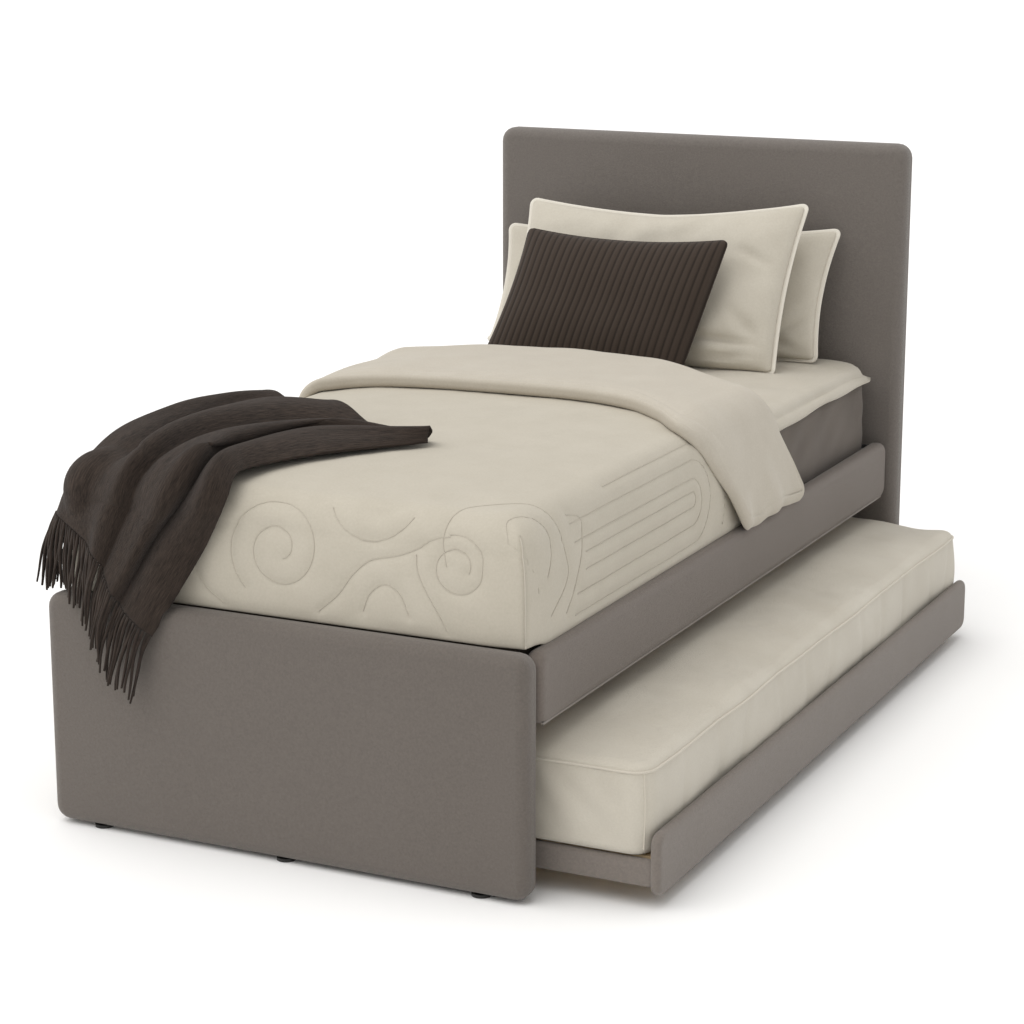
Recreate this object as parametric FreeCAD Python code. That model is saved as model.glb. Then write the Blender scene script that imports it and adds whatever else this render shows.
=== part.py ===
"""Upholstered single bed with a pull-out trundle bed, dressed with bedding.

Millimetres, +X towards the side the trundle pulls out, +Y from foot to head, +Z up.
The drawing datum is the floor, on the bed's centreline, in the plane of the footboard's front
face. Every piece is moved from there to the origin, which is the bottom centre of the whole
bed's box with the trundle partly pulled out.
"""
import FreeCAD, Part
import math
import os

V = FreeCAD.Vector

# ---- driving dimensions -----------------------------------------------------------------
BED_W = 1000.0               # footboard width
FOOT_T, FOOT_TOP = 56.0, 455.0
HEAD_W, HEAD_T, HEAD_TOP = 1050.0, 65.0, 1150.0
HEAD_Y = 2000.0              # front face of the headboard
GLIDE_H, GLIDE_R = 6.0, 18.0
UNDER_PAD = 6.0              # cloth and foam turned under a board's lower edge

RAIL_X = 505.0               # outer face of a side rail, from the centreline
RAIL_T, RAIL_Z0, RAIL_Z1 = 40.0, 316.0, 449.0
PAD = 10.0                   # foam and fabric over a rail's timber
SLAT_COUNT, SLAT_W, SLAT_T = 12, 70.0, 18.0
LEDGER = 22.0
LEDGER_GAP = 2.0             # ledger sits this far above the rail's lower edge

MATTRESS_W, MATTRESS_L, MATTRESS_H = 910.0, 1905.0, 242.0
MATTRESS_Y = 80.0
TOPPER_H = 12.0
QUILT_W, QUILT_HEAD_Y, QUILT_TOP = 940.0, 1420.0, 692.0
CLEAR = 1.0                  # soft pieces stand this far from what they lie on

TRUNDLE_OUT = 213.0          # how far the trundle is pulled out at rest
PANEL_T, PANEL_Z0, PANEL_Z1 = 22.0, 24.0, 142.0
PANEL_Y0, PANEL_Y1 = 86.0, 1975.0
FRAME_T, FRAME_Z0, FRAME_Z1 = 18.0, 41.0, 91.0
DECK_T = 12.0
TRUNDLE_MATTRESS_W, TRUNDLE_MATTRESS_H = 896.0, 171.0
WHEEL_R, WHEEL_W, PIN_R, BORE_GAP = 25.0, 18.0, 4.0, 0.06
PLATE_T, PLATE_W = 3.0, 44.0

# ---- derived places ---------------------------------------------------------------------
RAIL_IN = RAIL_X - RAIL_T
LEDGER_Z = RAIL_Z0 + LEDGER_GAP
SLAT_Z = LEDGER_Z + LEDGER
MATTRESS_Z = SLAT_Z + SLAT_T
MATTRESS_TOP = MATTRESS_Z + MATTRESS_H
TOPPER_TOP = MATTRESS_TOP + TOPPER_H
PANEL_X1 = RAIL_X + TRUNDLE_OUT          # front face of the trundle's panel
PANEL_X0 = PANEL_X1 - PANEL_T
TM_X1 = PANEL_X0 - 4.0                   # trundle mattress, outer and inner sides
TM_X0 = TM_X1 - TRUNDLE_MATTRESS_W
BACK_X1 = TM_X0                          # inner face of the trundle's back rail
BACK_X0 = BACK_X1 - FRAME_T
END_Y0, END_Y1 = PANEL_Y0 + 4.0, PANEL_Y1 - 4.0
DECK_Z = FRAME_Z1 - DECK_T
HEAD_BACK = HEAD_Y + HEAD_T
THROW_FRONT = -22.0                      # the throw hangs in front of the footboard
ORIGIN = V((PANEL_X1 - HEAD_W / 2) / 2, (HEAD_BACK + THROW_FRONT) / 2, 0)

os.makedirs("parts", exist_ok=True)


def save(name, shape):
    """Move a finished piece from the drawing datum to the origin and write it."""
    shape = shape.copy()
    shape.translate(ORIGIN.negative())
    if not shape.isValid():
        raise ValueError("bad solid: " + name)
    shape.exportStep("parts/" + name + ".step")


def box(x0, x1, y0, y1, z0, z1):
    return Part.makeBox(x1 - x0, y1 - y0, z1 - z0, V(x0, y0, z0))


def group(solids):
    return Part.makeCompound(solids)


def edges_along(shape, axis):
    """The straight edges of a box-like solid that run along one axis, 'x', 'y' or 'z'."""
    wanted = {"x": V(1, 0, 0), "y": V(0, 1, 0), "z": V(0, 0, 1)}[axis]
    found = []
    for edge in shape.Edges:
        if edge.Curve.TypeId == "Part::GeomLine":
            if abs(abs(edge.tangentAt(edge.FirstParameter).dot(wanted)) - 1) < 1e-6:
                found.append(edge)
    return found


def rounded(shape, axis, corner_r, edge_r):
    """Round the corners that run along an axis, then every edge that is left."""
    shape = shape.makeFillet(corner_r, edges_along(shape, axis))
    sharp = [e for e in shape.Edges if is_sharp(shape, e)]
    return shape.makeFillet(edge_r, sharp)


def is_sharp(shape, edge):
    """True where the two faces beside an edge meet at more than a slight angle."""
    faces = shape.ancestorsOfType(edge, Part.Face)
    if len(faces) != 2:
        return False
    middle = edge.valueAt((edge.FirstParameter + edge.LastParameter) / 2)
    normals = [f.normalAt(*f.Surface.parameter(middle)) for f in faces]
    return abs(normals[0].dot(normals[1])) < 0.9


def padded_panel(x0, x1, y0, y1, z1, pads, corner_r, edge_r):
    """Timber core and padded cover of a panel that stands on its glides.

    pads is the foam's thickness on the foot side, the head side and round the rim. The cover is
    turned under the lower edge, where the glides are nailed through it.
    """
    foot_pad, head_pad, rim = pads
    outer = rounded(box(x0, x1, y0, y1, GLIDE_H, z1), "y", corner_r, edge_r)
    core = box(x0 + rim, x1 - rim, y0 + foot_pad, y1 - head_pad, GLIDE_H + UNDER_PAD, z1 - rim)
    core = core.makeFillet(corner_r - UNDER_PAD, edges_along(core, "y"))
    return core, outer.cut(core)


def rod(p, direction, r, length):
    return Part.makeCylinder(r, length, p, direction)


# ---- headboard and footboard ------------------------------------------------------------
foot_core, foot_cover = padded_panel(-BED_W / 2, BED_W / 2, 0, FOOT_T, FOOT_TOP, (12, 12, 12), 24, 20)
head_core, head_cover = padded_panel(
    -HEAD_W / 2, HEAD_W / 2, HEAD_Y, HEAD_BACK, HEAD_TOP, (20, 8, 14), 30, 20)

glides = []
for panel_y in (FOOT_T / 2, HEAD_Y + HEAD_T / 2):
    for glide_x in (-400, 0, 400):
        glides.append(rod(V(glide_x, panel_y, 0), V(0, 0, 1), GLIDE_R, GLIDE_H))


# ---- side rails, ledgers and slats ------------------------------------------------------
def side_rail(side):
    """Timber core and padded cover of one side rail; side is -1 on the left, +1 on the right."""
    x0, x1 = sorted((side * RAIL_IN, side * RAIL_X))
    y0, y1 = FOOT_T + 1, HEAD_Y - 1
    outer = rounded(box(x0, x1, y0, y1, RAIL_Z0, RAIL_Z1), "x", 26, 14)
    core = box(x0 + PAD, x1 - PAD, y0 + PAD, y1 - PAD, RAIL_Z0 + PAD, RAIL_Z1 - PAD)
    return core, outer.cut(core)


rail_core, rail_cover = {}, {}
for rail_name, rail_side in (("left", -1), ("right", 1)):
    rail_core[rail_name], rail_cover[rail_name] = side_rail(rail_side)

slat_ys = [130 + i * (HEAD_Y - 260 + FOOT_T) / (SLAT_COUNT - 1) for i in range(SLAT_COUNT)]
slats = [box(-RAIL_IN + 3, RAIL_IN - 3, y - SLAT_W / 2, y + SLAT_W / 2, SLAT_Z, MATTRESS_Z)
         for y in slat_ys]
ledgers = {}
for rail_name, rail_side in (("left", -1), ("right", 1)):
    ledger_x = sorted((rail_side * RAIL_IN, rail_side * (RAIL_IN - LEDGER)))
    ledgers[rail_name] = box(*ledger_x, FOOT_T + 30, HEAD_Y - 30, LEDGER_Z, SLAT_Z)


# ---- steel corner brackets and their bolts ----------------------------------------------
BRACKET_Z0, BRACKET_Z1, BRACKET_LEG, BRACKET_T = 362.0, 436.0, 42.0, 3.0
BOLT_R, BOLT_HEAD_R, BOLT_HEAD_H, BOLT_L = 3.0, 6.0, 3.5, 26.0


def corner_bracket(side, end_y, inward):
    """An angle bracket in one inner corner, and its four bolts.

    end_y is the face of the footboard or headboard, inward the way from it towards mid bed.
    """
    x = side * RAIL_IN
    rail_leg = box(*sorted((x, x - side * BRACKET_T)),
                   *sorted((end_y, end_y + inward * BRACKET_LEG)), BRACKET_Z0, BRACKET_Z1)
    end_leg = box(*sorted((x, x - side * BRACKET_LEG)),
                  *sorted((end_y, end_y + inward * BRACKET_T)), BRACKET_Z0, BRACKET_Z1)
    plate = rail_leg.fuse(end_leg).removeSplitter()
    bolts = []
    for z in (BRACKET_Z0 + 15, BRACKET_Z1 - 15):
        bolts.append(bolt(V(x - side * BRACKET_T, end_y + inward * 30, z), V(side, 0, 0)))
        bolts.append(bolt(V(x - side * 28, end_y + inward * BRACKET_T, z), V(0, -inward, 0)))
    for one in bolts:
        plate = plate.cut(one)
    return plate, bolts


def bolt(face, into):
    """A round-headed bolt: its head stands on the face, and its shank goes in."""
    head = rod(face - into * BOLT_HEAD_H, into, BOLT_HEAD_R, BOLT_HEAD_H)
    return head.fuse(rod(face, into, BOLT_R, BOLT_L)).removeSplitter()


brackets, bolts = [], []
for bracket_side in (-1, 1):
    for bracket_y, bracket_in in ((FOOT_T, 1), (HEAD_Y, -1)):
        one_plate, four_bolts = corner_bracket(bracket_side, bracket_y, bracket_in)
        brackets.append(one_plate)
        bolts += four_bolts
bolt_group = group(bolts)
foot_core, foot_cover = foot_core.cut(bolt_group), foot_cover.cut(bolt_group)
head_core, head_cover = head_core.cut(bolt_group), head_cover.cut(bolt_group)
for rail_name in rail_core:
    rail_core[rail_name] = rail_core[rail_name].cut(bolt_group)
    rail_cover[rail_name] = rail_cover[rail_name].cut(bolt_group)

# ---- main mattress, topper, quilt and its turned-down band -------------------------------
mattress = rounded(box(-MATTRESS_W / 2, MATTRESS_W / 2, MATTRESS_Y, MATTRESS_Y + MATTRESS_L,
                       MATTRESS_Z + CLEAR, MATTRESS_TOP - CLEAR), "z", 50, 20)
topper = box(-MATTRESS_W / 2 + 2, MATTRESS_W / 2 - 2, MATTRESS_Y + 2, MATTRESS_Y + MATTRESS_L - 2,
             MATTRESS_TOP, TOPPER_TOP)
topper = topper.makeFillet(50, edges_along(topper, "z"))


def quilt_shape():
    """A thick quilt over the mattress: a top, a drop at the foot and a drop on each side."""
    outer = box(-QUILT_W / 2, QUILT_W / 2, FOOT_T + 3, QUILT_HEAD_Y + 200, RAIL_Z1 - 200, QUILT_TOP)
    outer = rounded(outer, "z", 45, 40)
    outer = outer.common(box(-600, 600, 0, QUILT_HEAD_Y, FOOT_TOP + 2, QUILT_TOP))
    inner = box(-MATTRESS_W / 2 - CLEAR, MATTRESS_W / 2 + CLEAR, MATTRESS_Y - CLEAR, 3000,
                0, TOPPER_TOP + CLEAR)
    return outer.cut(inner)


def turned_down_band():
    """The band of quilt folded back over itself, with an end hanging at each side."""
    y0, y1, z0, z1 = 950.0, QUILT_HEAD_Y, QUILT_TOP + CLEAR, QUILT_TOP + 32
    band = box(-522, 522, y0, y1, z0, z1)
    for side in (-1, 1):
        band = band.fuse(box(*sorted((side * 508, side * 522)), y0 - 40, y1 - 20, 425, z1 - 12))
    return band.removeSplitter()


# ---- pillows and cushion ----------------------------------------------------------------
def leaning(width, height, thick, x_centre, y_foot, lean_deg, corner_r):
    """A soft rectangular pad that stands on the topper and leans back by an angle."""
    pad = box(-width / 2, width / 2, -thick / 2, thick / 2, 0, height)
    pad = rounded(pad, "y", corner_r, thick * 0.42)
    pad.rotate(V(0, 0, 0), V(1, 0, 0), -lean_deg)
    rise = TOPPER_TOP + CLEAR + thick / 2 * math.sin(math.radians(lean_deg))
    pad.translate(V(x_centre, y_foot, rise))
    return pad


# ---- throw ------------------------------------------------------------------------------
def throw_shape():
    """A throw laid across the foot corner: over the quilt, down the foot and the left side."""
    z0, z1 = QUILT_TOP + CLEAR, QUILT_TOP + 40
    outline = [(-490, 30), (-150, 30), (-130, 250), (-40, 360), (50, 480), (30, 550),
               (-150, 600), (-300, 800), (-490, 840)]
    wire = Part.makePolygon([V(x, y, z0) for x, y in outline + outline[:1]])
    top = Part.Face(wire).extrude(V(0, 0, z1 - z0))
    foot = box(-490, -170, 30, FOOT_T + 2, FOOT_TOP + CLEAR, z1)
    over = box(-490, -200, THROW_FRONT, FOOT_T + 2, FOOT_TOP + CLEAR, FOOT_TOP + 20)
    front = box(-490, -250, THROW_FRONT, -CLEAR, 290, FOOT_TOP + 20)
    left = box(-520, -QUILT_W / 2 - CLEAR, 30, 760, 500, z1)
    return top.fuse([foot, over, front, left]).removeSplitter()


# ---- trundle: padded front panel, timber frame, deck --------------------------------------
PANEL_CORNER, PANEL_PAD = 26.0, 5.0
panel_outer = rounded(box(PANEL_X0, PANEL_X1, PANEL_Y0, PANEL_Y1, PANEL_Z0, PANEL_Z1), "x", PANEL_CORNER, 6)
panel_core = box(PANEL_X0 + PANEL_PAD, PANEL_X1 - PANEL_PAD, PANEL_Y0 + PANEL_PAD, PANEL_Y1 - PANEL_PAD,
                 PANEL_Z0 + PANEL_PAD, PANEL_Z1 - PANEL_PAD)
panel_core = panel_core.makeFillet(PANEL_CORNER - PANEL_PAD, edges_along(panel_core, "x"))
panel_cover = panel_outer.cut(panel_core)

SLEEVE = 3.0                 # fabric and thin foam round an end rail
FRONT_LEDGER, BACK_LEDGER = 20.0, 20.0


def end_rail(y0):
    """Timber end rail of the trundle, and the fabric sleeve that wraps it."""
    y1 = y0 + FRAME_T
    core = box(BACK_X0 + SLEEVE, PANEL_X0, y0 + SLEEVE, y1 - SLEEVE, FRAME_Z0 + SLEEVE, FRAME_Z1 - SLEEVE)
    sleeve = box(BACK_X0 + SLEEVE, PANEL_X0, y0, y1, FRAME_Z0, FRAME_Z1)
    sleeve = sleeve.makeFillet(4, edges_along(sleeve, "x")).cut(core)
    return core, sleeve


end_core_foot, end_sleeve_foot = end_rail(END_Y0)
end_core_head, end_sleeve_head = end_rail(END_Y1 - FRAME_T)
IN_Y0, IN_Y1 = END_Y0 + FRAME_T, END_Y1 - FRAME_T      # between the end rails
back_rail = box(BACK_X0, BACK_X1, IN_Y0, IN_Y1, FRAME_Z0, FRAME_Z1)
trundle_ledger_front = box(PANEL_X0 - FRONT_LEDGER, PANEL_X0, IN_Y0, IN_Y1, DECK_Z - 20, DECK_Z)
trundle_ledger_back = box(BACK_X1, BACK_X1 + BACK_LEDGER, IN_Y0, IN_Y1, DECK_Z - 20, DECK_Z)
CROSS_YS = (360.0, 1030.0, 1700.0)
cross_rails = [box(BACK_X1 + BACK_LEDGER, PANEL_X0 - FRONT_LEDGER, y - FRAME_T / 2, y + FRAME_T / 2,
                   FRAME_Z0, DECK_Z) for y in CROSS_YS]
DECK_BOARDS, DECK_GAP = 3, 4.0
board_l = (IN_Y1 - IN_Y0 - (DECK_BOARDS + 1) * DECK_GAP) / DECK_BOARDS
deck = []
for i in range(DECK_BOARDS):
    board_y = IN_Y0 + DECK_GAP + i * (board_l + DECK_GAP)
    deck.append(box(BACK_X1 + 1, PANEL_X0 - 1, board_y, board_y + board_l, DECK_Z, FRAME_Z1))
trundle_mattress = rounded(box(TM_X0, TM_X1, PANEL_Y0 + 3, PANEL_Y1 - 8, FRAME_Z1 + CLEAR,
                               FRAME_Z1 + CLEAR + TRUNDLE_MATTRESS_H), "z", 40, 18)


# ---- trundle wheels ---------------------------------------------------------------------
WHEEL_XS = {"back": BACK_X1 + 80, "front": PANEL_X0 - 90}
SCREW_R, SCREW_HEAD_R = 2.0, 4.0


def wheel_set(x, rail_y):
    """One wheel on the head side of a cross rail, with its steel plate, pin and two screws."""
    face = rail_y + FRAME_T / 2
    plate = box(x - PLATE_W / 2, x + PLATE_W / 2, face, face + PLATE_T, 10, DECK_Z - 2)
    centre = V(x, face, WHEEL_R)
    out = V(0, 1, 0)
    wheel_y = face + PLATE_T + 1.5
    pin_end = wheel_y + WHEEL_W + 1
    pin = rod(centre - out * 1.5, out, PIN_R + 3, 1.5)
    pin = pin.fuse(rod(centre, out, PIN_R, pin_end - face)).fuse(
        rod(V(x, pin_end, WHEEL_R), out, PIN_R + 3, 2)).removeSplitter()
    screws = [rod(V(x + dx, face + PLATE_T, 62), out, SCREW_HEAD_R, 2).fuse(
        rod(V(x + dx, face + PLATE_T, 62), out.negative(), SCREW_R, 15)).removeSplitter()
        for dx in (-14, 14)]
    plate = plate.cut(pin).cut(group(screws))
    return plate, pin, screws, wheel(x, wheel_y)


def wheel(x, y):
    """A moulded wheel with a crowned tread and a recess in each side round its hub."""
    half = WHEEL_W / 2
    tread = Part.makeCylinder(WHEEL_R, WHEEL_W, V(x, y, WHEEL_R), V(0, 1, 0))
    tread = tread.makeFillet(3, tread.Edges[:1] + tread.Edges[2:])
    recess = Part.makeCylinder(WHEEL_R - 6, half, V(0, 0, 0), V(0, 1, 0)).cut(
        Part.makeCylinder(9, half, V(0, 0, 0), V(0, 1, 0)))
    near, far = recess.copy(), recess.copy()
    near.translate(V(x, y - half + 3, WHEEL_R))
    far.translate(V(x, y + WHEEL_W - 3, WHEEL_R))
    bore = Part.makeCylinder(PIN_R + BORE_GAP, WHEEL_W, V(x, y, WHEEL_R), V(0, 1, 0))
    return tread.cut(near).cut(far).cut(bore)


plates, pins, wheel_screws, wheels = [], [], [], {}
for row, rail_y in zip(("foot", "middle", "head"), CROSS_YS):
    for column, wheel_x in WHEEL_XS.items():
        plate, pin, screws, wheels[row + "_" + column] = wheel_set(wheel_x, rail_y)
        plates.append(plate)
        pins.append(pin)
        wheel_screws += screws
cross_rails = [rail.cut(group(wheel_screws)) for rail in cross_rails]

# ---- write every piece --------------------------------------------------------------------
save("headboard_core", head_core)
save("headboard_cover", head_cover)
save("footboard_core", foot_core)
save("footboard_cover", foot_cover)
save("floor_glides", group(glides))
for rail_name in ("left", "right"):
    save("side_rail_core_" + rail_name, rail_core[rail_name])
    save("side_rail_cover_" + rail_name, rail_cover[rail_name])
    save("slat_ledger_" + rail_name, ledgers[rail_name])
for number, slat in enumerate(slats, 1):
    save("bed_slat_%02d" % number, slat)
save("corner_brackets", group(brackets))
save("bracket_bolts", bolt_group)
save("mattress", mattress)
save("mattress_topper", topper)
save("quilt", quilt_shape())
save("quilt_turn_down", turned_down_band())
save("pillow_back", leaning(790, 345, 96, -25, 1896, 8, 50))
save("pillow_front", leaning(700, 400, 100, -20, 1745, 14, 50))
save("ribbed_cushion", leaning(495, 310, 88, -75, 1600, 20, 40))
save("throw_blanket", throw_shape())
save("trundle_panel_core", panel_core)
save("trundle_panel_cover", panel_cover)
save("trundle_end_rail_foot", end_core_foot)
save("trundle_end_rail_head", end_core_head)
save("trundle_end_sleeve_foot", end_sleeve_foot)
save("trundle_end_sleeve_head", end_sleeve_head)
save("trundle_back_rail", back_rail)
save("trundle_ledger_front", trundle_ledger_front)
save("trundle_ledger_back", trundle_ledger_back)
for number, rail in enumerate(cross_rails, 1):
    save("trundle_cross_rail_%d" % number, rail)
for number, board in enumerate(deck, 1):
    save("trundle_deck_board_%d" % number, board)
save("trundle_mattress", trundle_mattress)
save("wheel_plates", group(plates))
save("wheel_pins", group(pins))
save("wheel_screws", group(wheel_screws))
for wheel_name, wheel_solid in wheels.items():
    save("wheel_" + wheel_name, wheel_solid)
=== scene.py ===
"""Looks of an upholstered single bed with a pull-out trundle bed, dressed with bedding.

Metres, +X towards the side the trundle pulls out, +Y from foot to head, +Z up. Pieces are drawn
from the bed's own datum, which is on the floor, on the bed's centreline and in the plane of the
footboard's front face. build() moves them from there into the frame.
"""
import math

import bpy
import numpy as np
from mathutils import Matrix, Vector


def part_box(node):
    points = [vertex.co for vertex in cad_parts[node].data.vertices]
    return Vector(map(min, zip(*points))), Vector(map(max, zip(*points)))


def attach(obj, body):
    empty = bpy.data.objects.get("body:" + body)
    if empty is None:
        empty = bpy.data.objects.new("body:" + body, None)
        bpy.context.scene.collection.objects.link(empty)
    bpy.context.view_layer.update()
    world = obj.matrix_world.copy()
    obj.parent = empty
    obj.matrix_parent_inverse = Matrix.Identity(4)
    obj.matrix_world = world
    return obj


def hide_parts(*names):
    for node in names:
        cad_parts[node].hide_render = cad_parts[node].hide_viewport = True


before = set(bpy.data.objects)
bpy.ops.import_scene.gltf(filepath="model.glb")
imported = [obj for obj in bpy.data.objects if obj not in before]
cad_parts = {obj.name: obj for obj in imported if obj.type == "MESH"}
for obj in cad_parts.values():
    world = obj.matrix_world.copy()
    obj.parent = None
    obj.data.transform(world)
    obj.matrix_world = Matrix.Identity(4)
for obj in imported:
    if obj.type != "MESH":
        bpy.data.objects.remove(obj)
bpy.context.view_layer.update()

# ---- studio: pale floor, soft light, camera --------------------------------------------------
# A matt white floor that runs past the view, even light from all round, and one broad soft
# lamp high in front on the left, so tops are brightest and the right-hand sides fall off.
scene = bpy.context.scene
scene.view_settings.view_transform = "Standard"
foot_lo, foot_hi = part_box("footboard_cover")
DATUM = np.array([(foot_lo.x + foot_hi.x) / 2, foot_lo.y, 0.0])


def box(node):
    """A CAD node's lowest and highest corners, from the datum."""
    return [np.array(corner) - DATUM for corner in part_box(node)]


def linear(hex_colour):
    """An sRGB hex colour as linear RGBA, by undoing the sRGB curve in each channel."""
    srgb = np.array([int(hex_colour[i:i + 2], 16) for i in (1, 3, 5)]) / 255
    return (*np.where(srgb <= 0.04045, srgb / 12.92, ((srgb + 0.055) / 1.055) ** 2.4), 1.0)


def add_node(tree, kind, sockets=None, **settings):
    """Add a shader node, set its properties, then fill or link each named or numbered socket."""
    node = tree.nodes.new("ShaderNode" + kind)
    for key, value in settings.items():
        setattr(node, key, value)
    for key, value in (sockets or {}).items():
        if isinstance(value, bpy.types.NodeSocket):
            tree.links.new(value, node.inputs[key])
        else:
            node.inputs[key].default_value = value
    return node


def new_material(name, colour, roughness, **shader_sockets):
    """A principled material with its constant sockets set; returns it, its tree and its shader."""
    material = bpy.data.materials.new(name)
    material.use_nodes = True
    shader = material.node_tree.nodes["Principled BSDF"]
    shader.inputs["Base Color"].default_value = linear(colour)
    shader.inputs["Roughness"].default_value = roughness
    for socket, value in shader_sockets.items():
        shader.inputs[socket.replace("_", " ")].default_value = value
    return material, material.node_tree, shader


def studio():
    """World, lamp, floor and camera."""
    world = bpy.data.worlds.new("even_light")
    world.use_nodes = True
    world.node_tree.nodes["Background"].inputs["Color"].default_value = linear("#fffefc")
    world.node_tree.nodes["Background"].inputs["Strength"].default_value = 0.70
    scene.world = world

    lamp = bpy.data.lights.new("soft_lamp", "SUN")
    lamp.energy, lamp.angle = 1.78, math.radians(70)
    lamp.color = (1.0, 0.99, 0.975)
    lamp_object = bpy.data.objects.new("soft_lamp", lamp)
    to_lamp = Vector((-0.30, -0.26, 0.92))
    lamp_object.rotation_euler = to_lamp.to_track_quat("Z", "Y").to_euler()
    scene.collection.objects.link(lamp_object)

    half = 60.0
    floor_mesh = bpy.data.meshes.new("floor")
    floor_mesh.from_pydata([(-half, -half, 0), (half, -half, 0), (half, half, 0), (-half, half, 0)],
                           [], [(0, 1, 2, 3)])
    floor_mesh.materials.append(new_material("white_paper_sweep", "#fdfdfd", 0.9)[0])
    floor = bpy.data.objects.new("floor", floor_mesh)
    scene.collection.objects.link(floor)

    camera = bpy.data.cameras.new("camera")
    camera.lens, camera.sensor_width, camera.clip_end = 91.17, 36.0, 200.0  # a long lens, in mm
    camera_object = bpy.data.objects.new("camera", camera)
    camera_object.location = DATUM + [2.3164, -3.8287, 1.7534]
    pitch_down, turn_left = 13.7553, 25.7038
    camera_object.rotation_euler = (math.radians(90 - pitch_down), 0, math.radians(turn_left))
    scene.collection.objects.link(camera_object)
    scene.camera = camera_object


studio()

# ---- timber, plywood and steel inside the bed and the trundle --------------------------------
# Planed pine cores, ledgers and slats, birch plywood decking, zinc-plated brackets and bolts,
# moulded wheels and glides. They are the frame's own solids and only take their finish here.


def weave(tree, place, pitch):
    """Height of a plain weave: the product of two sines, one over X + Y and one over Z."""
    axes = add_node(tree, "SeparateXYZ", {0: place}).outputs
    level = add_node(tree, "Math", {0: axes[0], 1: axes[1]}, operation="ADD").outputs[0]
    waves = []
    for socket in (level, axes[2]):
        scaled = add_node(tree, "Math", {0: socket, 1: 2 * math.pi / pitch}, operation="MULTIPLY")
        waves.append(add_node(tree, "Math", {0: scaled.outputs[0]}, operation="SINE").outputs[0])
    return add_node(tree, "Math", {0: waves[0], 1: waves[1]}, operation="MULTIPLY").outputs[0]


def blend(tree, share, low, high):
    """A colour between two hex colours by a share from 0 to 1."""
    mix = add_node(tree, "Mix", {0: share, 6: linear(low), 7: linear(high)}, data_type="RGBA")
    return mix.outputs[2]


def stretch(tree, value, low, high, to_low=0.0, to_high=1.0):
    """A value's range from low to high spread over another range, and clipped there."""
    return add_node(tree, "MapRange", {0: value, 1: low, 2: high, 3: to_low, 4: to_high}).outputs[0]


def bump(tree, shader, height, distance, strength=1.0):
    """Link a height, in units of distance, to a shader's normal."""
    node = add_node(tree, "Bump", {"Height": height, "Distance": distance, "Strength": strength})
    tree.links.new(node.outputs[0], shader.inputs["Normal"])


def noise(tree, place, scale, detail, **sockets):
    """A noise texture's value at a place; scale is its features per metre."""
    inputs = {"Vector": place, "Scale": scale, "Detail": detail, **sockets}
    return add_node(tree, "TexNoise", inputs).outputs["Fac"]


def scaled_sum(tree, value, factor, added):
    """A value times a factor plus another value."""
    return add_node(tree, "Math", {0: value, 1: factor, 2: added}, operation="MULTIPLY_ADD").outputs[0]


def tint(tree, shader, share, low, high):
    """Colour a shader between two hex colours by a share."""
    tree.links.new(blend(tree, share, low, high), shader.inputs["Base Color"])


def planed_pine():
    """Planed, unfinished pine: pale bands of early and late wood along Y, 7 mm apart."""
    material, tree, shader = new_material("planed_pine", "#d9b98a", 0.55)
    place = add_node(tree, "TexCoord").outputs["Object"]
    grain = add_node(tree, "Mapping", {"Vector": place, "Scale": (1.0, 0.06, 1.0)}).outputs[0]
    rings = noise(tree, grain, 140.0, 4.0, Distortion=0.6)
    bands = stretch(tree, rings, 0.35, 0.68)
    tint(tree, shader, bands, "#e3c798", "#bd925c")
    bump(tree, shader, bands, 0.0003, 0.5)
    return material


def birch_plywood():
    """Rotary-cut birch plywood: broad pale flame figure, with a fine fibre grain."""
    material, tree, shader = new_material("birch_plywood", "#dcc39c", 0.5)
    place = add_node(tree, "TexCoord").outputs["Object"]
    flame = add_node(tree, "Mapping", {"Vector": place, "Scale": (1.0, 0.18, 1.0)}).outputs[0]
    figure = noise(tree, flame, 14.0, 5.0, Distortion=1.2)
    fibre = noise(tree, flame, 600.0, 2.0)
    bands = stretch(tree, figure, 0.3, 0.7)
    tint(tree, shader, bands, "#e6d2ae", "#cda978")
    bump(tree, shader, fibre, 0.0002, 0.4)
    return material


def zinc_plated_steel():
    """Bright zinc plate over pressed steel: a cool grey metal, slightly cloudy."""
    material, tree, shader = new_material("zinc_plated_steel", "#b9bcc0", 0.35, Metallic=1.0)
    place = add_node(tree, "TexCoord").outputs["Object"]
    cloud = noise(tree, place, 90.0, 3.0)
    tint(tree, shader, cloud, "#a8acb2", "#c9ccd0")
    tree.links.new(stretch(tree, cloud, 0.3, 0.7, 0.28, 0.45), shader.inputs["Roughness"])
    return material


def moulded_plastic(name, dark, light, roughness):
    """Injection-moulded plastic with a fine spark texture, 0.4 mm across."""
    material, tree, shader = new_material(name, dark, roughness, IOR=1.47)
    place = add_node(tree, "TexCoord").outputs["Object"]
    spark = noise(tree, place, 2500.0, 1.0)
    smear = noise(tree, place, 40.0, 3.0)
    tint(tree, shader, smear, dark, light)
    bump(tree, shader, spark, 0.0001, 0.5)
    return material


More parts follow.
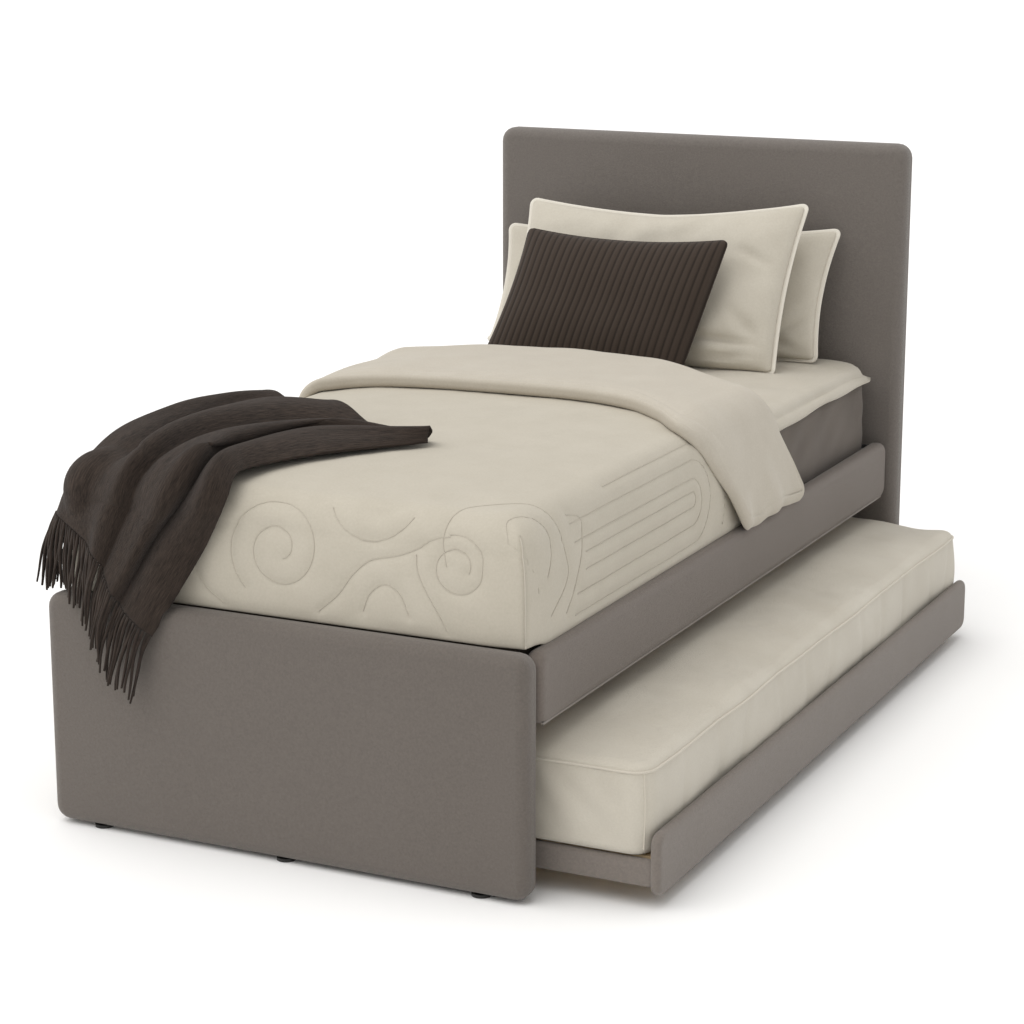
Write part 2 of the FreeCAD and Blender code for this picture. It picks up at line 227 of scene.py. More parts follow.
pine, plywood, zinc = planed_pine(), birch_plywood(), zinc_plated_steel()
node_finishes = {
    "bed_slat": pine, "slat_ledger": pine, "headboard_core": pine, "footboard_core": pine,
    "side_rail_core": pine, "trundle_end_rail": pine, "trundle_back_rail": pine,
    "trundle_cross_rail": pine, "trundle_ledger": pine, "trundle_panel_core": pine,
    "trundle_deck_board": plywood, "corner_brackets": zinc, "bracket_bolts": zinc,
    "wheel_plates": zinc, "wheel_pins": zinc, "wheel_screws": zinc,
    "floor_glides": moulded_plastic("black_polyethylene_glide", "#1c1b1a", "#242322", 0.45),
    "wheel_foot": moulded_plastic("grey_nylon_wheel", "#4a4845", "#5a5754", 0.4),
}
for same_as_foot in ("wheel_middle", "wheel_head"):
    node_finishes[same_as_foot] = node_finishes["wheel_foot"]
for node_name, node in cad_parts.items():
    for start, node_finish in node_finishes.items():
        if node_name.startswith(start):
            node.data.materials.clear()
            node.data.materials.append(node_finish)

# ---- upholstered headboard, footboard and side rails -----------------------------------------
# Each board is a timber panel wrapped in a thin layer of foam and one piece of woven polyester,
# pulled tight to the back and stapled, so faces are flat, edges round and corners rounded. Each
# board's cloth has its own shade, painted shading for how light falls on that board. A thin welt
# closes the lower edge of each side rail; its paler colour is a painted highlight.
FACING_FOOT = np.array([[1, 0, 0], [0, 0, 1], [0, -1, 0]])
FACING_RIGHT = np.array([[0, 1, 0], [0, 0, 1], [1, 0, 0]])
FACING_LEFT = np.array([[0, -1, 0], [0, 0, 1], [-1, 0, 0]])


def grid_lines(length, corner, step, in_corner):
    """Lines across a length about its middle: in_corner of them in each corner, the rest evenly."""
    half = length / 2
    inside = np.linspace(-half + corner, half - corner, max(2, round((length - 2 * corner) / step)) + 1)
    close = np.linspace(-half, -half + corner, max(in_corner, round(1.3 * corner / step)) + 1)[:-1]
    return np.concatenate([close, inside, -close[::-1]])


def slab(size, corner, profile, step, cap=False, in_corner=3):
    """A closed padded form lying flat, face up at height 0: front grid, rim and back.

    size is the front's width and length. Inside the corner squares a grid point's offset is
    scaled by its larger share over its length, which draws the square in to a quarter disc. The
    rim carries profile, rows of (outward, down, squareness), along each edge point's outward
    direction; squareness 1 would carry a corner out to a right angle. The back is the same grid,
    or one face if cap. Sheet coordinates are the front's own, continued round the rim by length.
    """
    us, vs = (grid_lines(length, corner, step, in_corner) for length in size)
    u, v = np.meshgrid(us, vs, indexing="ij")
    in_u = np.maximum(np.abs(u) - (size[0] / 2 - corner), 0)
    in_v = np.maximum(np.abs(v) - (size[1] / 2 - corner), 0)
    reach = np.hypot(in_u, in_v)
    pull = np.where(reach > 0, np.maximum(in_u, in_v) / np.maximum(reach, 1e-9), 1.0)
    front = np.stack([np.sign(u) * (np.abs(u) - in_u + in_u * pull),
                      np.sign(v) * (np.abs(v) - in_v + in_v * pull)], 2)
    outward = np.stack([np.sign(u) * in_u, np.sign(v) * in_v], 2) / np.maximum(reach, 1e-9)[..., None]

    nu, nv = len(us), len(vs)
    index = np.arange(nu * nv).reshape(nu, nv)
    loop = np.concatenate([index[:, 0], index[-1, 1:], index[-2::-1, -1], index[0, -2:0:-1]])
    edge, away = front.reshape(-1, 2)[loop], outward.reshape(-1, 2)[loop]
    profile = np.array([(*row, 0.0)[:3] for row in profile])
    square = 1 + profile[:, 2, None] * (1 / np.abs(away).max(1) - 1)[None]
    run = np.concatenate([[0], np.cumsum(np.hypot(*np.diff(profile[:, :2], axis=0).T))])
    tangent = np.gradient(profile[:, :2], axis=0)
    tangent /= np.linalg.norm(tangent, axis=1)[:, None]

    rows, count = len(profile), len(loop)
    rim = np.empty((rows - 1, count, 3))
    rim[..., :2] = edge + away * (profile[1:, 0, None] * square[1:])[..., None]
    rim[..., 2] = -profile[1:, 1, None]
    rim_normal = np.empty_like(rim)
    rim_normal[..., :2] = away * tangent[1:, 1, None, None]
    rim_normal[..., 2] = tangent[1:, 0, None]
    rim_sheet = edge + away * run[1:, None, None]
    ring = np.concatenate([loop[None], nu * nv + np.arange((rows - 1) * count).reshape(rows - 1, count)])

    points = [np.concatenate([front, np.zeros((nu, nv, 1))], 2).reshape(-1, 3), rim.reshape(-1, 3)]
    normals = [np.tile([0.0, 0.0, 1.0], (nu * nv, 1)), rim_normal.reshape(-1, 3)]
    sheets = [front.reshape(-1, 2), rim_sheet.reshape(-1, 2)]
    row_of = [np.zeros(nu * nv, int), np.repeat(np.arange(1, rows), count)]
    quads = [quads_of(index), quads_of(np.concatenate([ring, ring[:, :1]], 1).T[::-1])]
    if cap:
        last_face = [ring[-1][::-1].tolist()]
    else:
        back = np.empty((nu, nv), int)
        back.reshape(-1)[loop] = ring[-1]
        hole = np.ones((nu, nv), bool)
        hole.reshape(-1)[loop] = False
        back[hole] = nu * nv + (rows - 1) * count + np.arange(hole.sum())
        points.append(np.concatenate([front[hole], np.full((hole.sum(), 1), -profile[-1, 1])], 1))
        normals.append(np.tile([0.0, 0.0, -1.0], (hole.sum(), 1)))
        sheets.append(front[hole])
        row_of.append(np.full(hole.sum(), rows))
        quads.append(quads_of(back)[:, ::-1])
        last_face = []
    return {"points": np.concatenate(points), "normals": np.concatenate(normals),
            "sheet": np.concatenate(sheets), "row": np.concatenate(row_of),
            "faces": np.concatenate(quads).tolist() + last_face, "edge": ring}


def quads_of(index):
    """The quads of a grid of point numbers, counter-clockwise when the first axis is to the right."""
    return np.stack([index[:-1, :-1], index[1:, :-1], index[1:, 1:], index[:-1, 1:]], 2).reshape(-1, 4)


def padded_edge(thick, radius, swell=0.0, rows=4):
    """Profile of a padded edge: a quarter circle out, a wall that swells, a quarter circle back."""
    turn = np.linspace(0, np.pi / 2, 7)
    arc = np.stack([radius * np.sin(turn), radius * (1 - np.cos(turn))], 1)
    share = np.linspace(0, 1, rows + 2)[1:-1]
    wall = np.stack([radius + swell * np.sin(np.pi * share), radius + (thick - 2 * radius) * share], 1)
    return np.concatenate([arc, wall, arc[::-1] * [1, -1] + [0, thick]])


def ripple(u, v, wave, seed, count=9):
    """Smooth unevenness of about -1 to 1: sine waves near `wave` metres long in seeded directions."""
    draw = np.random.default_rng(seed)
    total = np.zeros_like(u)
    for _ in range(count):
        angle, size, shift = draw.uniform(0, np.pi), wave * draw.uniform(0.7, 1.6), draw.uniform(0, 2 * np.pi)
        total += np.sin((u * np.cos(angle) + v * np.sin(angle)) * 2 * np.pi / size + shift)
    return total / count ** 0.5


def build(name, points, faces, material, body, slot, stands_for=(), sheet=None):
    """A piece from points drawn at the bed's datum: mesh, UV map in metres, finish and body."""
    mesh = bpy.data.meshes.new(name)
    mesh.from_pydata((np.asarray(points) + DATUM).tolist(), [], faces)
    mesh.polygons.foreach_set("use_smooth", np.ones(len(mesh.polygons), bool))
    if sheet is not None:
        corner = np.empty(len(mesh.loops), np.int32)
        mesh.loops.foreach_get("vertex_index", corner)
        uv = mesh.uv_layers.new(name="cloth")
        uv.data.foreach_set("uv", np.asarray(sheet)[corner].astype(np.float32).ravel())
    mesh.materials.append(material)
    piece = bpy.data.objects.new(name, mesh)
    scene.collection.objects.link(piece)
    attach(piece, body)
    if stands_for:
        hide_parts(*stands_for)
    return piece


def tube(path, radii, up, closed=False, sides=8):
    """A welt along a path: ellipses square to it, one radius along up and the other across it."""
    path, up = np.asarray(path, float), np.asarray(up, float)
    ahead = np.roll(path, -1, 0) - np.roll(path, 1, 0) if closed else np.gradient(path, axis=0)
    ahead /= np.linalg.norm(ahead, axis=1)[:, None]
    across = np.cross(ahead, up)
    across /= np.linalg.norm(across, axis=1)[:, None]
    above = np.cross(across, ahead)
    turn = np.linspace(0, 2 * np.pi, sides, endpoint=False)[None, :, None]
    rings = (path[:, None] + radii[0] * np.cos(turn) * across[:, None]
             + radii[1] * np.sin(turn) * above[:, None])
    index = np.arange(len(path) * sides).reshape(len(path), sides)
    index = np.concatenate([index, index[:, :1]], 1)
    if closed:
        index = np.concatenate([index, index[:1]])
    faces = quads_of(index)[:, ::-1].tolist()
    if not closed:
        faces += [index[0, :-1].tolist(), index[-1, :-1][::-1].tolist()]
    return rings.reshape(-1, 3), faces


def woven_upholstery(name, dark, light):
    """Brushed woven polyester in warm grey: heathered yarn, a soft nap and a plain weave.

    The yarn is 1 mm; the weave is drawn 2.5 mm and the heather 5 mm, so that they show. Each board
    gets its own shade of the one cloth: painted shading, lighter or darker for how light falls
    on that board.
    """
    material, tree, shader = new_material(name, light, 0.86, Sheen_Weight=0.2, Sheen_Roughness=0.55)
    place = add_node(tree, "TexCoord").outputs["Object"]
    cloth = weave(tree, place, 0.0025)
    heather = noise(tree, place, 210.0, 4.0, Roughness=0.75)
    cloud = noise(tree, place, 3.5, 2.0)
    yarn = stretch(tree, heather, 0.25, 0.75)
    mottled = scaled_sum(tree, cloud, 0.25, yarn)
    share = stretch(tree, mottled, 0.0, 1.25)
    tint(tree, shader, share, dark, light)
    height = scaled_sum(tree, cloth, 0.5, yarn)
    bump(tree, shader, height, 0.0007, 0.7)
    return material


# Four shades of one cloth, one per board: painted shading, lighter or darker for how light falls on each.
head_cloth_painted_shading = woven_upholstery("woven_polyester_head_painted_shading", "#635d58", "#79726c")
foot_cloth_painted_shading = woven_upholstery("woven_polyester_foot_painted_shading", "#5b544e", "#6f6760")
rail_cloth_painted_shading = woven_upholstery("woven_polyester_rail_painted_shading", "#635a53", "#786e66")
pull_cloth_painted_shading = woven_upholstery("woven_polyester_pull_painted_shading", "#6d655f", "#857c74")


def board(name, node, cloth, facing, corner, radius, crown, seed, step=0.02, longer=0.0):
    """A padded board that fills a CAD cover's box: its face swells by crown and is a little uneven.

    corner rounds the outline, radius its edges; longer lets its +X end reach past the box.
    """
    lo, hi = box(node)
    hi[0] += longer
    size = np.abs(facing @ (hi - lo))
    form = slab((size[0] - 2 * radius, size[1] - 2 * radius), corner - radius,
                padded_edge(size[2] - crown, radius), step)
    flat = form["points"]
    u, v = flat[:, 0] / (size[0] / 2), flat[:, 1] / (size[1] / 2)
    swell = crown * (1 - np.abs(u) ** 6) * (1 - np.abs(v) ** 6)
    uneven = 0.0008 * ripple(flat[:, 0], flat[:, 1], 0.28, seed)
    flat[:, 2] += np.where(form["row"] == 0, swell + uneven * (1 - u ** 8) * (1 - v ** 8), 0)
    flat[:, 2] -= crown
    middle = (lo + hi) / 2 + facing[2] * size[2] / 2
    piece = build(name, middle + flat @ facing, form["faces"], cloth,
                  "trundle" if "trundle" in node else "bed_frame", "upholstery", [node])
    return piece


board("headboard_upholstery", "headboard_cover", head_cloth_painted_shading, FACING_FOOT, 0.034, 0.022, 0.004, 11)
board("footboard_upholstery", "footboard_cover", foot_cloth_painted_shading, FACING_FOOT, 0.030, 0.020, 0.004, 12)
RAIL_PADDING = (0.030, 0.015, 0.002)
board("side_rail_upholstery_right", "side_rail_cover_right", rail_cloth_painted_shading, FACING_RIGHT, *RAIL_PADDING, 13)
board("side_rail_upholstery_left", "side_rail_cover_left", rail_cloth_painted_shading, FACING_LEFT, *RAIL_PADDING, 14)


def plain_tape(name, dark, light):
    """A narrow woven tape, with flecks 1.4 mm across."""
    material, tree, shader = new_material(name, light, 0.8, Sheen_Weight=0.2)
    place = add_node(tree, "TexCoord").outputs["Object"]
    fleck = noise(tree, place, 700.0, 2.0)
    tint(tree, shader, fleck, dark, light)
    bump(tree, shader, fleck, 0.0004, 0.6)
    return material


# The welt is real piping; its colour, paler than the rail cloth, is a painted highlight along the rail's
# lower edge.
rail_welt_painted_highlight = plain_tape("grey_welt_tape_painted_highlight", "#7d756e", "#958d85")
WELT_R = 0.0022
for side_name, side in (("right", 1), ("left", -1)):
    rail_lo, rail_hi = box("side_rail_cover_" + side_name)
    rail_face = max(abs(rail_lo[0]), abs(rail_hi[0]))
    welt_y = np.linspace(rail_lo[1] + 0.012, rail_hi[1] - 0.028, 60)
    welt_x = np.full(60, side * (rail_face - 0.006))
    welt_path = np.stack([welt_x, welt_y, np.full(60, rail_lo[2] + 0.004)], 1)
    build("side_rail_welt_" + side_name, *tube(welt_path, (WELT_R, WELT_R), (0, 0, 1)), rail_welt_painted_highlight,
          "bed_frame", "upholstery")

# ---- main mattress and its quilted topper ----------------------------------------------------
# A sprung mattress with a tight grey knitted border, rounded edges and a raised seam at each
# corner. The topper pad lies on it in pale knitted cotton, with a soft sewn flange that hangs just
# over the mattress's edge.


def knit(name, dark, light, roughness=0.82):
    """Knitted polyester: stitches 2 mm apart drawn 3 mm so they show, and slightly cloudy."""
    material, tree, shader = new_material(name, light, roughness, Sheen_Weight=0.2, Sheen_Roughness=0.5)
    place = add_node(tree, "TexCoord").outputs["Object"]
    loops = weave(tree, place, 0.003)
    cloud = noise(tree, place, 9.0, 3.0)
    grain = noise(tree, place, 260.0, 3.0)
    both = scaled_sum(tree, grain, 0.6, cloud)
    share = stretch(tree, both, 0.45, 1.15)
    tint(tree, shader, share, dark, light)
    height = scaled_sum(tree, loops, 0.4, grain)
    bump(tree, shader, height, 0.0006, 0.6)
    return material


def crease(u, v, start, end, width):
    """1 on the line from start to end, fading by a bell curve to its sides and towards its ends."""
    (x0, y0), (x1, y1) = start, end
    length = math.hypot(x1 - x0, y1 - y0)
    ahead, aside = (x1 - x0) / length, (y1 - y0) / length
    share = np.clip(((u - x0) * ahead + (v - y0) * aside) / length, 0, 1)
    off = (u - x0) * aside - (v - y0) * ahead
    return np.exp(-(off / width) ** 2) * np.sin(np.pi * share) ** 0.8


border_knit = knit("grey_knit_border", "#50463d", "#5f554b")
pale_knit = knit("pale_knit_cotton", "#b2ab9c", "#bfb8ab")

bed_lo, bed_hi = box("mattress")
bed_size = bed_hi - bed_lo
MATTRESS_R, MATTRESS_SWELL = 0.022, 0.003
mattress_edge = padded_edge(bed_size[2], MATTRESS_R, MATTRESS_SWELL, rows=10)
mattress_form = slab((bed_size[0] - 2 * MATTRESS_R, bed_size[1] - 2 * MATTRESS_R), 0.03, mattress_edge, 0.03)
mattress_top = np.array([0, (bed_lo[1] + bed_hi[1]) / 2, bed_hi[2]])
border_wave = 0.0012 * ripple(mattress_form["sheet"][:, 1] + mattress_form["sheet"][:, 0],
                              mattress_form["points"][:, 2], 0.11, 21)
mattress_points = mattress_form["points"] + mattress_form["normals"] * border_wave[:, None]
mattress = build("mattress_grey_border", mattress_top + mattress_points,
                 mattress_form["faces"], border_knit, "bed_frame", "mattress_border", ["mattress"])


SEAM_R = 0.0016
FOUR_CORNERS = ((1, 1), (1, -1), (-1, 1), (-1, -1))


def corner_seams(name, form, origin, rows, corner_signs, cord, body, slot):
    """Thin raised seams down a form's corners, each along the rim point nearest the diagonal."""
    ring = form["edge"][slice(*rows)]
    for number, (sign_x, sign_y) in enumerate(corner_signs, 1):
        pick = (form["points"][ring[0]] * [sign_x, sign_y, 0]).sum(1).argmax()
        path = origin + form["points"][ring[:, pick]]
        build(f"{name}_{number}", *tube(path, (SEAM_R, SEAM_R), (sign_x, -sign_y, 0)), cord, body, slot)


seam_tape = plain_tape("grey_seam_tape", "#544d48", "#6a635d")
corner_seams("mattress_border_seam", mattress_form, mattress_top, (5, -5), FOUR_CORNERS, seam_tape,
             "bed_frame", "mattress_border")

TOPPER_RISE, TOPPER_STEP = 0.040, 0.014
topper_lo, topper_hi = box("mattress_topper")
topper_rim = [(0, 0), (0.006, 0.0012, 0.3), (0.012, 0.004, 0.5), (0.017, 0.009, 0.6), (0.0205, 0.015, 0.65),
              (0.0225, 0.0185, 0.7), (0.0255, 0.0185, 0.7), (0.031, 0.0205, 0.75), (0.036, 0.0245, 0.8),
              (0.039, 0.0295, 0.8), (0.0385, 0.0335, 0.8), (0.036, 0.0335, 0.8), (0.028, 0.031, 0.7),
              (0.018, 0.037, 0.5), (0.0, TOPPER_RISE - 0.0005)]
topper_half = (topper_hi - topper_lo)[:2] - 0.03
topper_form = slab(topper_half, 0.035, topper_rim, TOPPER_STEP, cap=True)
topper_flat, topper_row = topper_form["points"], topper_form["row"]
topper_u, topper_v = (topper_form["sheet"] / topper_half * 2).T
on_top = topper_row == 0
topper_flat[:, 2] += np.where(on_top, 0.007 * (1 - topper_u ** 6) * (1 - topper_v ** 12), 0)
topper_flat[:, 2] += np.where(on_top, 0.0015 * ripple(topper_flat[:, 0], topper_flat[:, 1], 0.16, 22), 0)
hem = np.clip((topper_row - 5) / 4, 0, 1) * (topper_row < 13)
topper_flat[:, 2] -= hem * (0.003 + 0.0035 * ripple(topper_flat[:, 1], topper_flat[:, 0] * 0.5, 0.34, 23))
head_corner = np.clip((np.abs(topper_u) - 0.75) / 0.28, 0, 1) ** 2 * np.clip((topper_v - 0.85) / 0.18, 0, 1)
topper_flat[:, 1] -= 0.022 * head_corner
topper_flat[:, 2] -= 0.010 * head_corner * (topper_row < 9)
topper_middle = np.array([0, (topper_lo[1] + topper_hi[1]) / 2, topper_lo[2] + TOPPER_RISE])
# The quilt holds the flange in against the mattress as far as UNDER_QUILT_TO.
UNDER_QUILT_TO, TOPPER_SIDE, HELD_IN = 1.21, 0.485, 0.028
TOPPER_FOOT, TOPPER_HEAD = 0.078, 1.996
under_quilt = np.clip((UNDER_QUILT_TO - topper_middle[1] - topper_flat[:, 1]) / 0.05, 0, 1)
topper_side = TOPPER_SIDE - HELD_IN * under_quilt
topper_flat[:, 0] = np.clip(topper_flat[:, 0], -topper_side, topper_side)
topper_flat[:, 1] = np.clip(topper_flat[:, 1], TOPPER_FOOT - topper_middle[1], TOPPER_HEAD - topper_middle[1])
topper = build("mattress_topper_pad", topper_middle + topper_flat, topper_form["faces"], pale_knit,
               "bed_frame", "topper_knit", ["mattress_topper"], topper_form["sheet"])

# ---- quilt -----------------------------------------------------------------------------------
# A thick fitted quilt in pale cotton over the topper and mattress, with drops at the foot and both
# sides, a sewn seam down each foot corner, and a swirling pattern stitched through its filling.
QUILT_HALF, QUILT_Y0, QUILT_Y1 = 0.470, 0.059, 1.372
QUILT_TOP, QUILT_HEM, QUILT_CROWN = 0.682, 0.4538, 0.014
SHOULDER_OUT, SHOULDER_DOWN = 0.060, 0.068
QUILT_STEP = 0.0053


def curve_through(points, count):
    """A Catmull-Rom curve through points along their first axis, sampled evenly count times."""
    points = np.asarray(points, float)
    held = np.concatenate([2 * points[:1] - points[1:2], points, 2 * points[-1:] - points[-2:-1]])
    t = np.linspace(0, len(points) - 1, count)
    k = np.minimum(t.astype(int), len(points) - 2)
    f = (t - k).reshape(-1, *[1] * (points.ndim - 1))
    a, b, c, d = (held[k + i] for i in range(4))
    square, cube = 2 * a - 5 * b + 4 * c - d, 3 * b - a - 3 * c + d
    return 0.5 * (2 * b + (c - a) * f + square * f ** 2 + cube * f ** 3)


def spiral(centre, outer, inner, start, turns):
    """A flat spiral whose radius shrinks evenly; start in degrees, turns negative for clockwise."""
    share = np.linspace(0, 1, round(abs(turns) * 2 * np.pi * outer / 0.004))
    radius, angle = outer + (inner - outer) * share, math.radians(start) + turns * 2 * np.pi * share
    return np.array(centre) + np.stack([radius * np.cos(angle), radius * np.sin(angle)], 1)


def lobe(centre, half, straight):
    """A long stitched U: two runs along Y joined by a half circle at their head end."""
    x, y = centre
    turn = np.linspace(0, np.pi, 24)
    bend = np.stack([x + half * np.cos(turn), y + straight + half * np.sin(turn)], 1)
    run = np.linspace(0, 1, round(straight / 0.004))[:, None]
    down = np.array([[x + half, y]]) + run * [[0, straight]]
    return np.concatenate([down, bend, down[::-1] - [2 * half, 0]])


def stitched_lines():
    """The quilting, in sheet coordinates: foot, top, and one side's lines with their mirror image."""
    foot = [spiral((-0.020, -0.015), 0.105, 0.020, 229, -1.80),
            spiral((-0.350, -0.010), 0.090, 0.020, 318, 1.9),
            spiral((0.340, -0.010), 0.060, 0.025, 108, -1.35),
            spiral((0.165, 0.110), 0.090, 0.090, 205, 0.36),
            spiral((0.180, 0.115), 0.045, 0.045, 212, 0.36),
            curve_through([(0.065, -0.120), (0.105, -0.085), (0.135, -0.045), (0.170, -0.015), (0.225, 0.000),
                           (0.260, 0.015), (0.290, 0.035), (0.325, 0.045)], 160),
            curve_through([(0.260, 0.005), (0.265, -0.025), (0.280, -0.055), (0.305, -0.095),
                           (0.325, -0.130)], 60),
            curve_through([(0.155, -0.110), (0.170, -0.075), (0.200, -0.055), (0.230, -0.070),
                           (0.250, -0.110)], 60),
            curve_through([(-0.190, -0.075), (-0.170, -0.105), (-0.130, -0.130)], 40)]
    top = [spiral((-0.120, 0.430), 0.110, 0.030, 200, -2.0), spiral((0.200, 0.560), 0.120, 0.030, 20, 2.0),
           spiral((-0.020, 0.830), 0.115, 0.030, 250, -2.0), spiral((0.080, 0.300), 0.090, 0.020, 90, -1.6),
           spiral((-0.270, 0.700), 0.100, 0.025, 120, 1.9), spiral((0.240, 0.900), 0.090, 0.020, 0, -1.8)]
    side = [curve_through([(0.320, -0.010), (0.310, 0.045), (0.330, 0.110), (0.400, 0.170), (0.470, 0.200),
                           (0.530, 0.220), (0.580, 0.220), (0.630, 0.145)], 130),
            curve_through([(0.630, 0.085), (0.560, 0.070), (0.490, 0.060), (0.440, 0.060), (0.420, 0.090),
                           (0.445, 0.130), (0.480, 0.160), (0.530, 0.160), (0.590, 0.110)], 110),
            curve_through([(0.365, 0.210), (0.405, 0.280), (0.425, 0.365), (0.390, 0.440), (0.340, 0.430),
                           (0.300, 0.390)], 80),
            curve_through([(0.470, 0.250), (0.490, 0.300), (0.540, 0.290), (0.600, 0.250),
                           (0.640, 0.210)], 60),
            lobe((0.565, 0.300), 0.015, 0.520), lobe((0.570, 0.260), 0.045, 0.560),
            lobe((0.570, 0.250), 0.080, 0.580), lobe((0.585, 0.430), 0.130, 0.430)]
    return foot + top + side + [line * [-1, 1] for line in side]


def distance_to(lines, at):
    """Distance from each place to the nearest stitched line, each line a run of close points."""
    nearest = np.ones(len(at))
    for line in lines:
        span_lo, span_hi = line.min(0) - 0.03, line.max(0) + 0.03
        near = ((at > span_lo) & (at < span_hi)).all(1)
        gap = np.linalg.norm(at[near, None] - line[None], axis=2).min(1)
        nearest[near] = np.minimum(nearest[near], gap)
    return nearest


def quilt_profile():
    """Shoulder, a wall that swells, a rolled hem, and the inner wall back up beside the mattress."""
    turn = np.linspace(0, np.pi / 2, 15)
    shoulder = np.stack([SHOULDER_OUT * np.sin(turn), SHOULDER_DOWN * (1 - np.cos(turn)),
                         0.85 * np.sin(turn) ** 2], 1)
    drop = QUILT_TOP - QUILT_HEM
    share = np.linspace(0, 1, 33)[1:]
    wall = np.stack([SHOULDER_OUT + 0.007 * np.sin(np.pi * share ** 0.8) + 0.011 * share ** 2,
                     SHOULDER_DOWN + (drop - 0.004 - SHOULDER_DOWN) * share, np.full(32, 0.85)], 1)
    hem_out = wall[-1, 0]
    turned = [(hem_out - 0.001, drop - 0.001, 0.85), (hem_out - 0.004, drop, 0.85),
              (hem_out - 0.008, drop - 0.003, 0.85)]
    inner = [(hem_out - 0.014, drop - 0.06, 0.7), (hem_out - 0.018, 0.07, 0.5)]
    return np.concatenate([shoulder, wall, turned, inner]), len(shoulder) + len(wall)


quilt_rows, quilt_outer_rows = quilt_profile()
quilt_size = (2 * (QUILT_HALF - SHOULDER_OUT), QUILT_Y1 - QUILT_Y0 - 2 * SHOULDER_OUT)
quilt_form = slab(quilt_size, 0.02, quilt_rows, QUILT_STEP, cap=True)
quilt_middle = np.array([0, (QUILT_Y0 + QUILT_Y1) / 2, QUILT_TOP])
quilt_sheet = quilt_form["sheet"] + quilt_middle[:2]
quilt_flat, quilt_row = quilt_form["points"], quilt_form["row"]
quilt_is_outer = quilt_row < quilt_outer_rows
quilt_crown = QUILT_CROWN * np.clip(1 - (2 * quilt_flat[:, 0] / quilt_size[0]) ** 4, 0, 1)
quilt_crown *= np.clip(1 - (2 * quilt_flat[:, 1] / quilt_size[1]) ** 6, 0, 1)
quilt_flat[:, 2] += np.where(quilt_row == 0, quilt_crown, 0)
gap_to_stitch = distance_to(stitched_lines(), quilt_sheet)
GROOVE, GROOVE_REACH = 0.0022, 0.0055
PUFF, PUFF_REACH = 0.0014, 0.018
on_wall = np.clip(quilt_row / 8, 0.15, 1)
puff = PUFF * (1 - np.exp(-(gap_to_stitch / PUFF_REACH) ** 2))
puff -= GROOVE * np.exp(-(gap_to_stitch / GROOVE_REACH) ** 2)
soft = 0.0013 * ripple(*quilt_sheet.T, 0.24, 31) + 0.0003 * ripple(*quilt_sheet.T, 0.06, 32)
hem_hold = np.clip((quilt_outer_rows - quilt_row) / 5, 0, 1)
quilt_flat += quilt_form["normals"] * (quilt_is_outer * hem_hold * (on_wall * puff + soft))[:, None]
# Over the rails the hem hangs a little lower than on the footboard, and it flares out onto them.
low = np.clip((quilt_row - 15) / 32, 0, 1) * (quilt_row > 0)
on_side = np.clip((np.abs(quilt_flat[:, 0]) - quilt_size[0] / 2) / 0.05, 0, 1) * np.clip(
    (quilt_flat[:, 1] + quilt_size[1] / 2 + 0.02) / 0.03, 0, 1)
quilt_flat[:, 2] -= 0.0085 * low * on_side


def line_at(points, value):
    """Where a smooth line through (s, y) points lies at each s."""
    line = curve_through(points, 300)
    return np.interp(value, line[:, 0], line[:, 1])


# The line along which the head end is folded back, and the line of the band's front lip: y at each
# distance s along the section, from the left hem over the top to the right hem.
FOLD_LINE = [(-0.72, 1.370), (-0.52, 1.280), (-0.38, 1.330), (-0.20, 1.385), (0.0, 1.400), (0.15, 1.378),
             (0.25, 1.330), (0.34, 1.268), (0.43, 1.236), (0.52, 1.268), (0.62, 1.340), (0.72, 1.400)]
LIP_LINE = [(-0.72, 0.985), (-0.54, 0.925), (-0.45, 0.905), (-0.34, 0.950), (-0.21, 0.972),
            (0.0, 0.988), (0.15, 0.988), (0.27, 0.962), (0.36, 0.905), (0.44, 0.838), (0.53, 0.910),
            (0.61, 0.985), (0.72, 1.045)]
quilt_y = quilt_flat[:, 1] + quilt_middle[1]
quilt_s = np.where(np.abs(quilt_flat[:, 0]) > quilt_size[0] / 2, quilt_sheet[:, 0], quilt_flat[:, 0])
tuck = np.clip((quilt_y - 1.0) / (QUILT_Y1 - 1.0), 0, 1)
quilt_flat[:, 1] += tuck * (line_at(FOLD_LINE, quilt_s) - 0.030 - QUILT_Y1)
head_side = np.clip((tuck - 0.94) / 0.06, 0, 1)
head_side *= np.abs(quilt_flat[:, 0]) < quilt_size[0] / 2
quilt_flat[:, 2] += np.maximum(-quilt_flat[:, 2] - 0.05, 0) * head_side * 0.5


def bed_linen(name, dark, light, wave=14.0, puckers=0.5):
    """Washed cotton percale: matt, with soft random puckers and a weave drawn 2.5 mm so it shows."""
    material, tree, shader = new_material(name, light, 0.84, Sheen_Weight=0.15, Sheen_Roughness=0.5)
    place = add_node(tree, "TexCoord").outputs["Object"]
    threads = weave(tree, place, 0.0025)
    pucker = noise(tree, place, wave, 4.0, Roughness=0.55)
    grain = noise(tree, place, 240.0, 3.0)
    both = scaled_sum(tree, grain, 1.2, pucker)
    share = stretch(tree, both, 0.5, 1.7)
    tint(tree, shader, share, dark, light)
    fine = scaled_sum(tree, threads, 0.05, pucker)
    bump(tree, shader, fine, 0.006, puckers)
    return material


quilt_cotton = bed_linen("quilted_cotton", "#b3ac9d", "#c0b9ab", puckers=0.10)
quilt = build("quilt_padded", quilt_middle + quilt_flat, quilt_form["faces"], quilt_cotton, "bed_frame",
              "quilt_cotton", ["quilt"], quilt_sheet)
seam_thread = plain_tape("pale_seam_cord", "#aea799", "#bfb8ab")
corner_seams("quilt_corner_seam", quilt_form, quilt_middle, (9, quilt_outer_rows), ((1, -1), (-1, -1)),
             seam_thread, "bed_frame", "quilt_cotton")

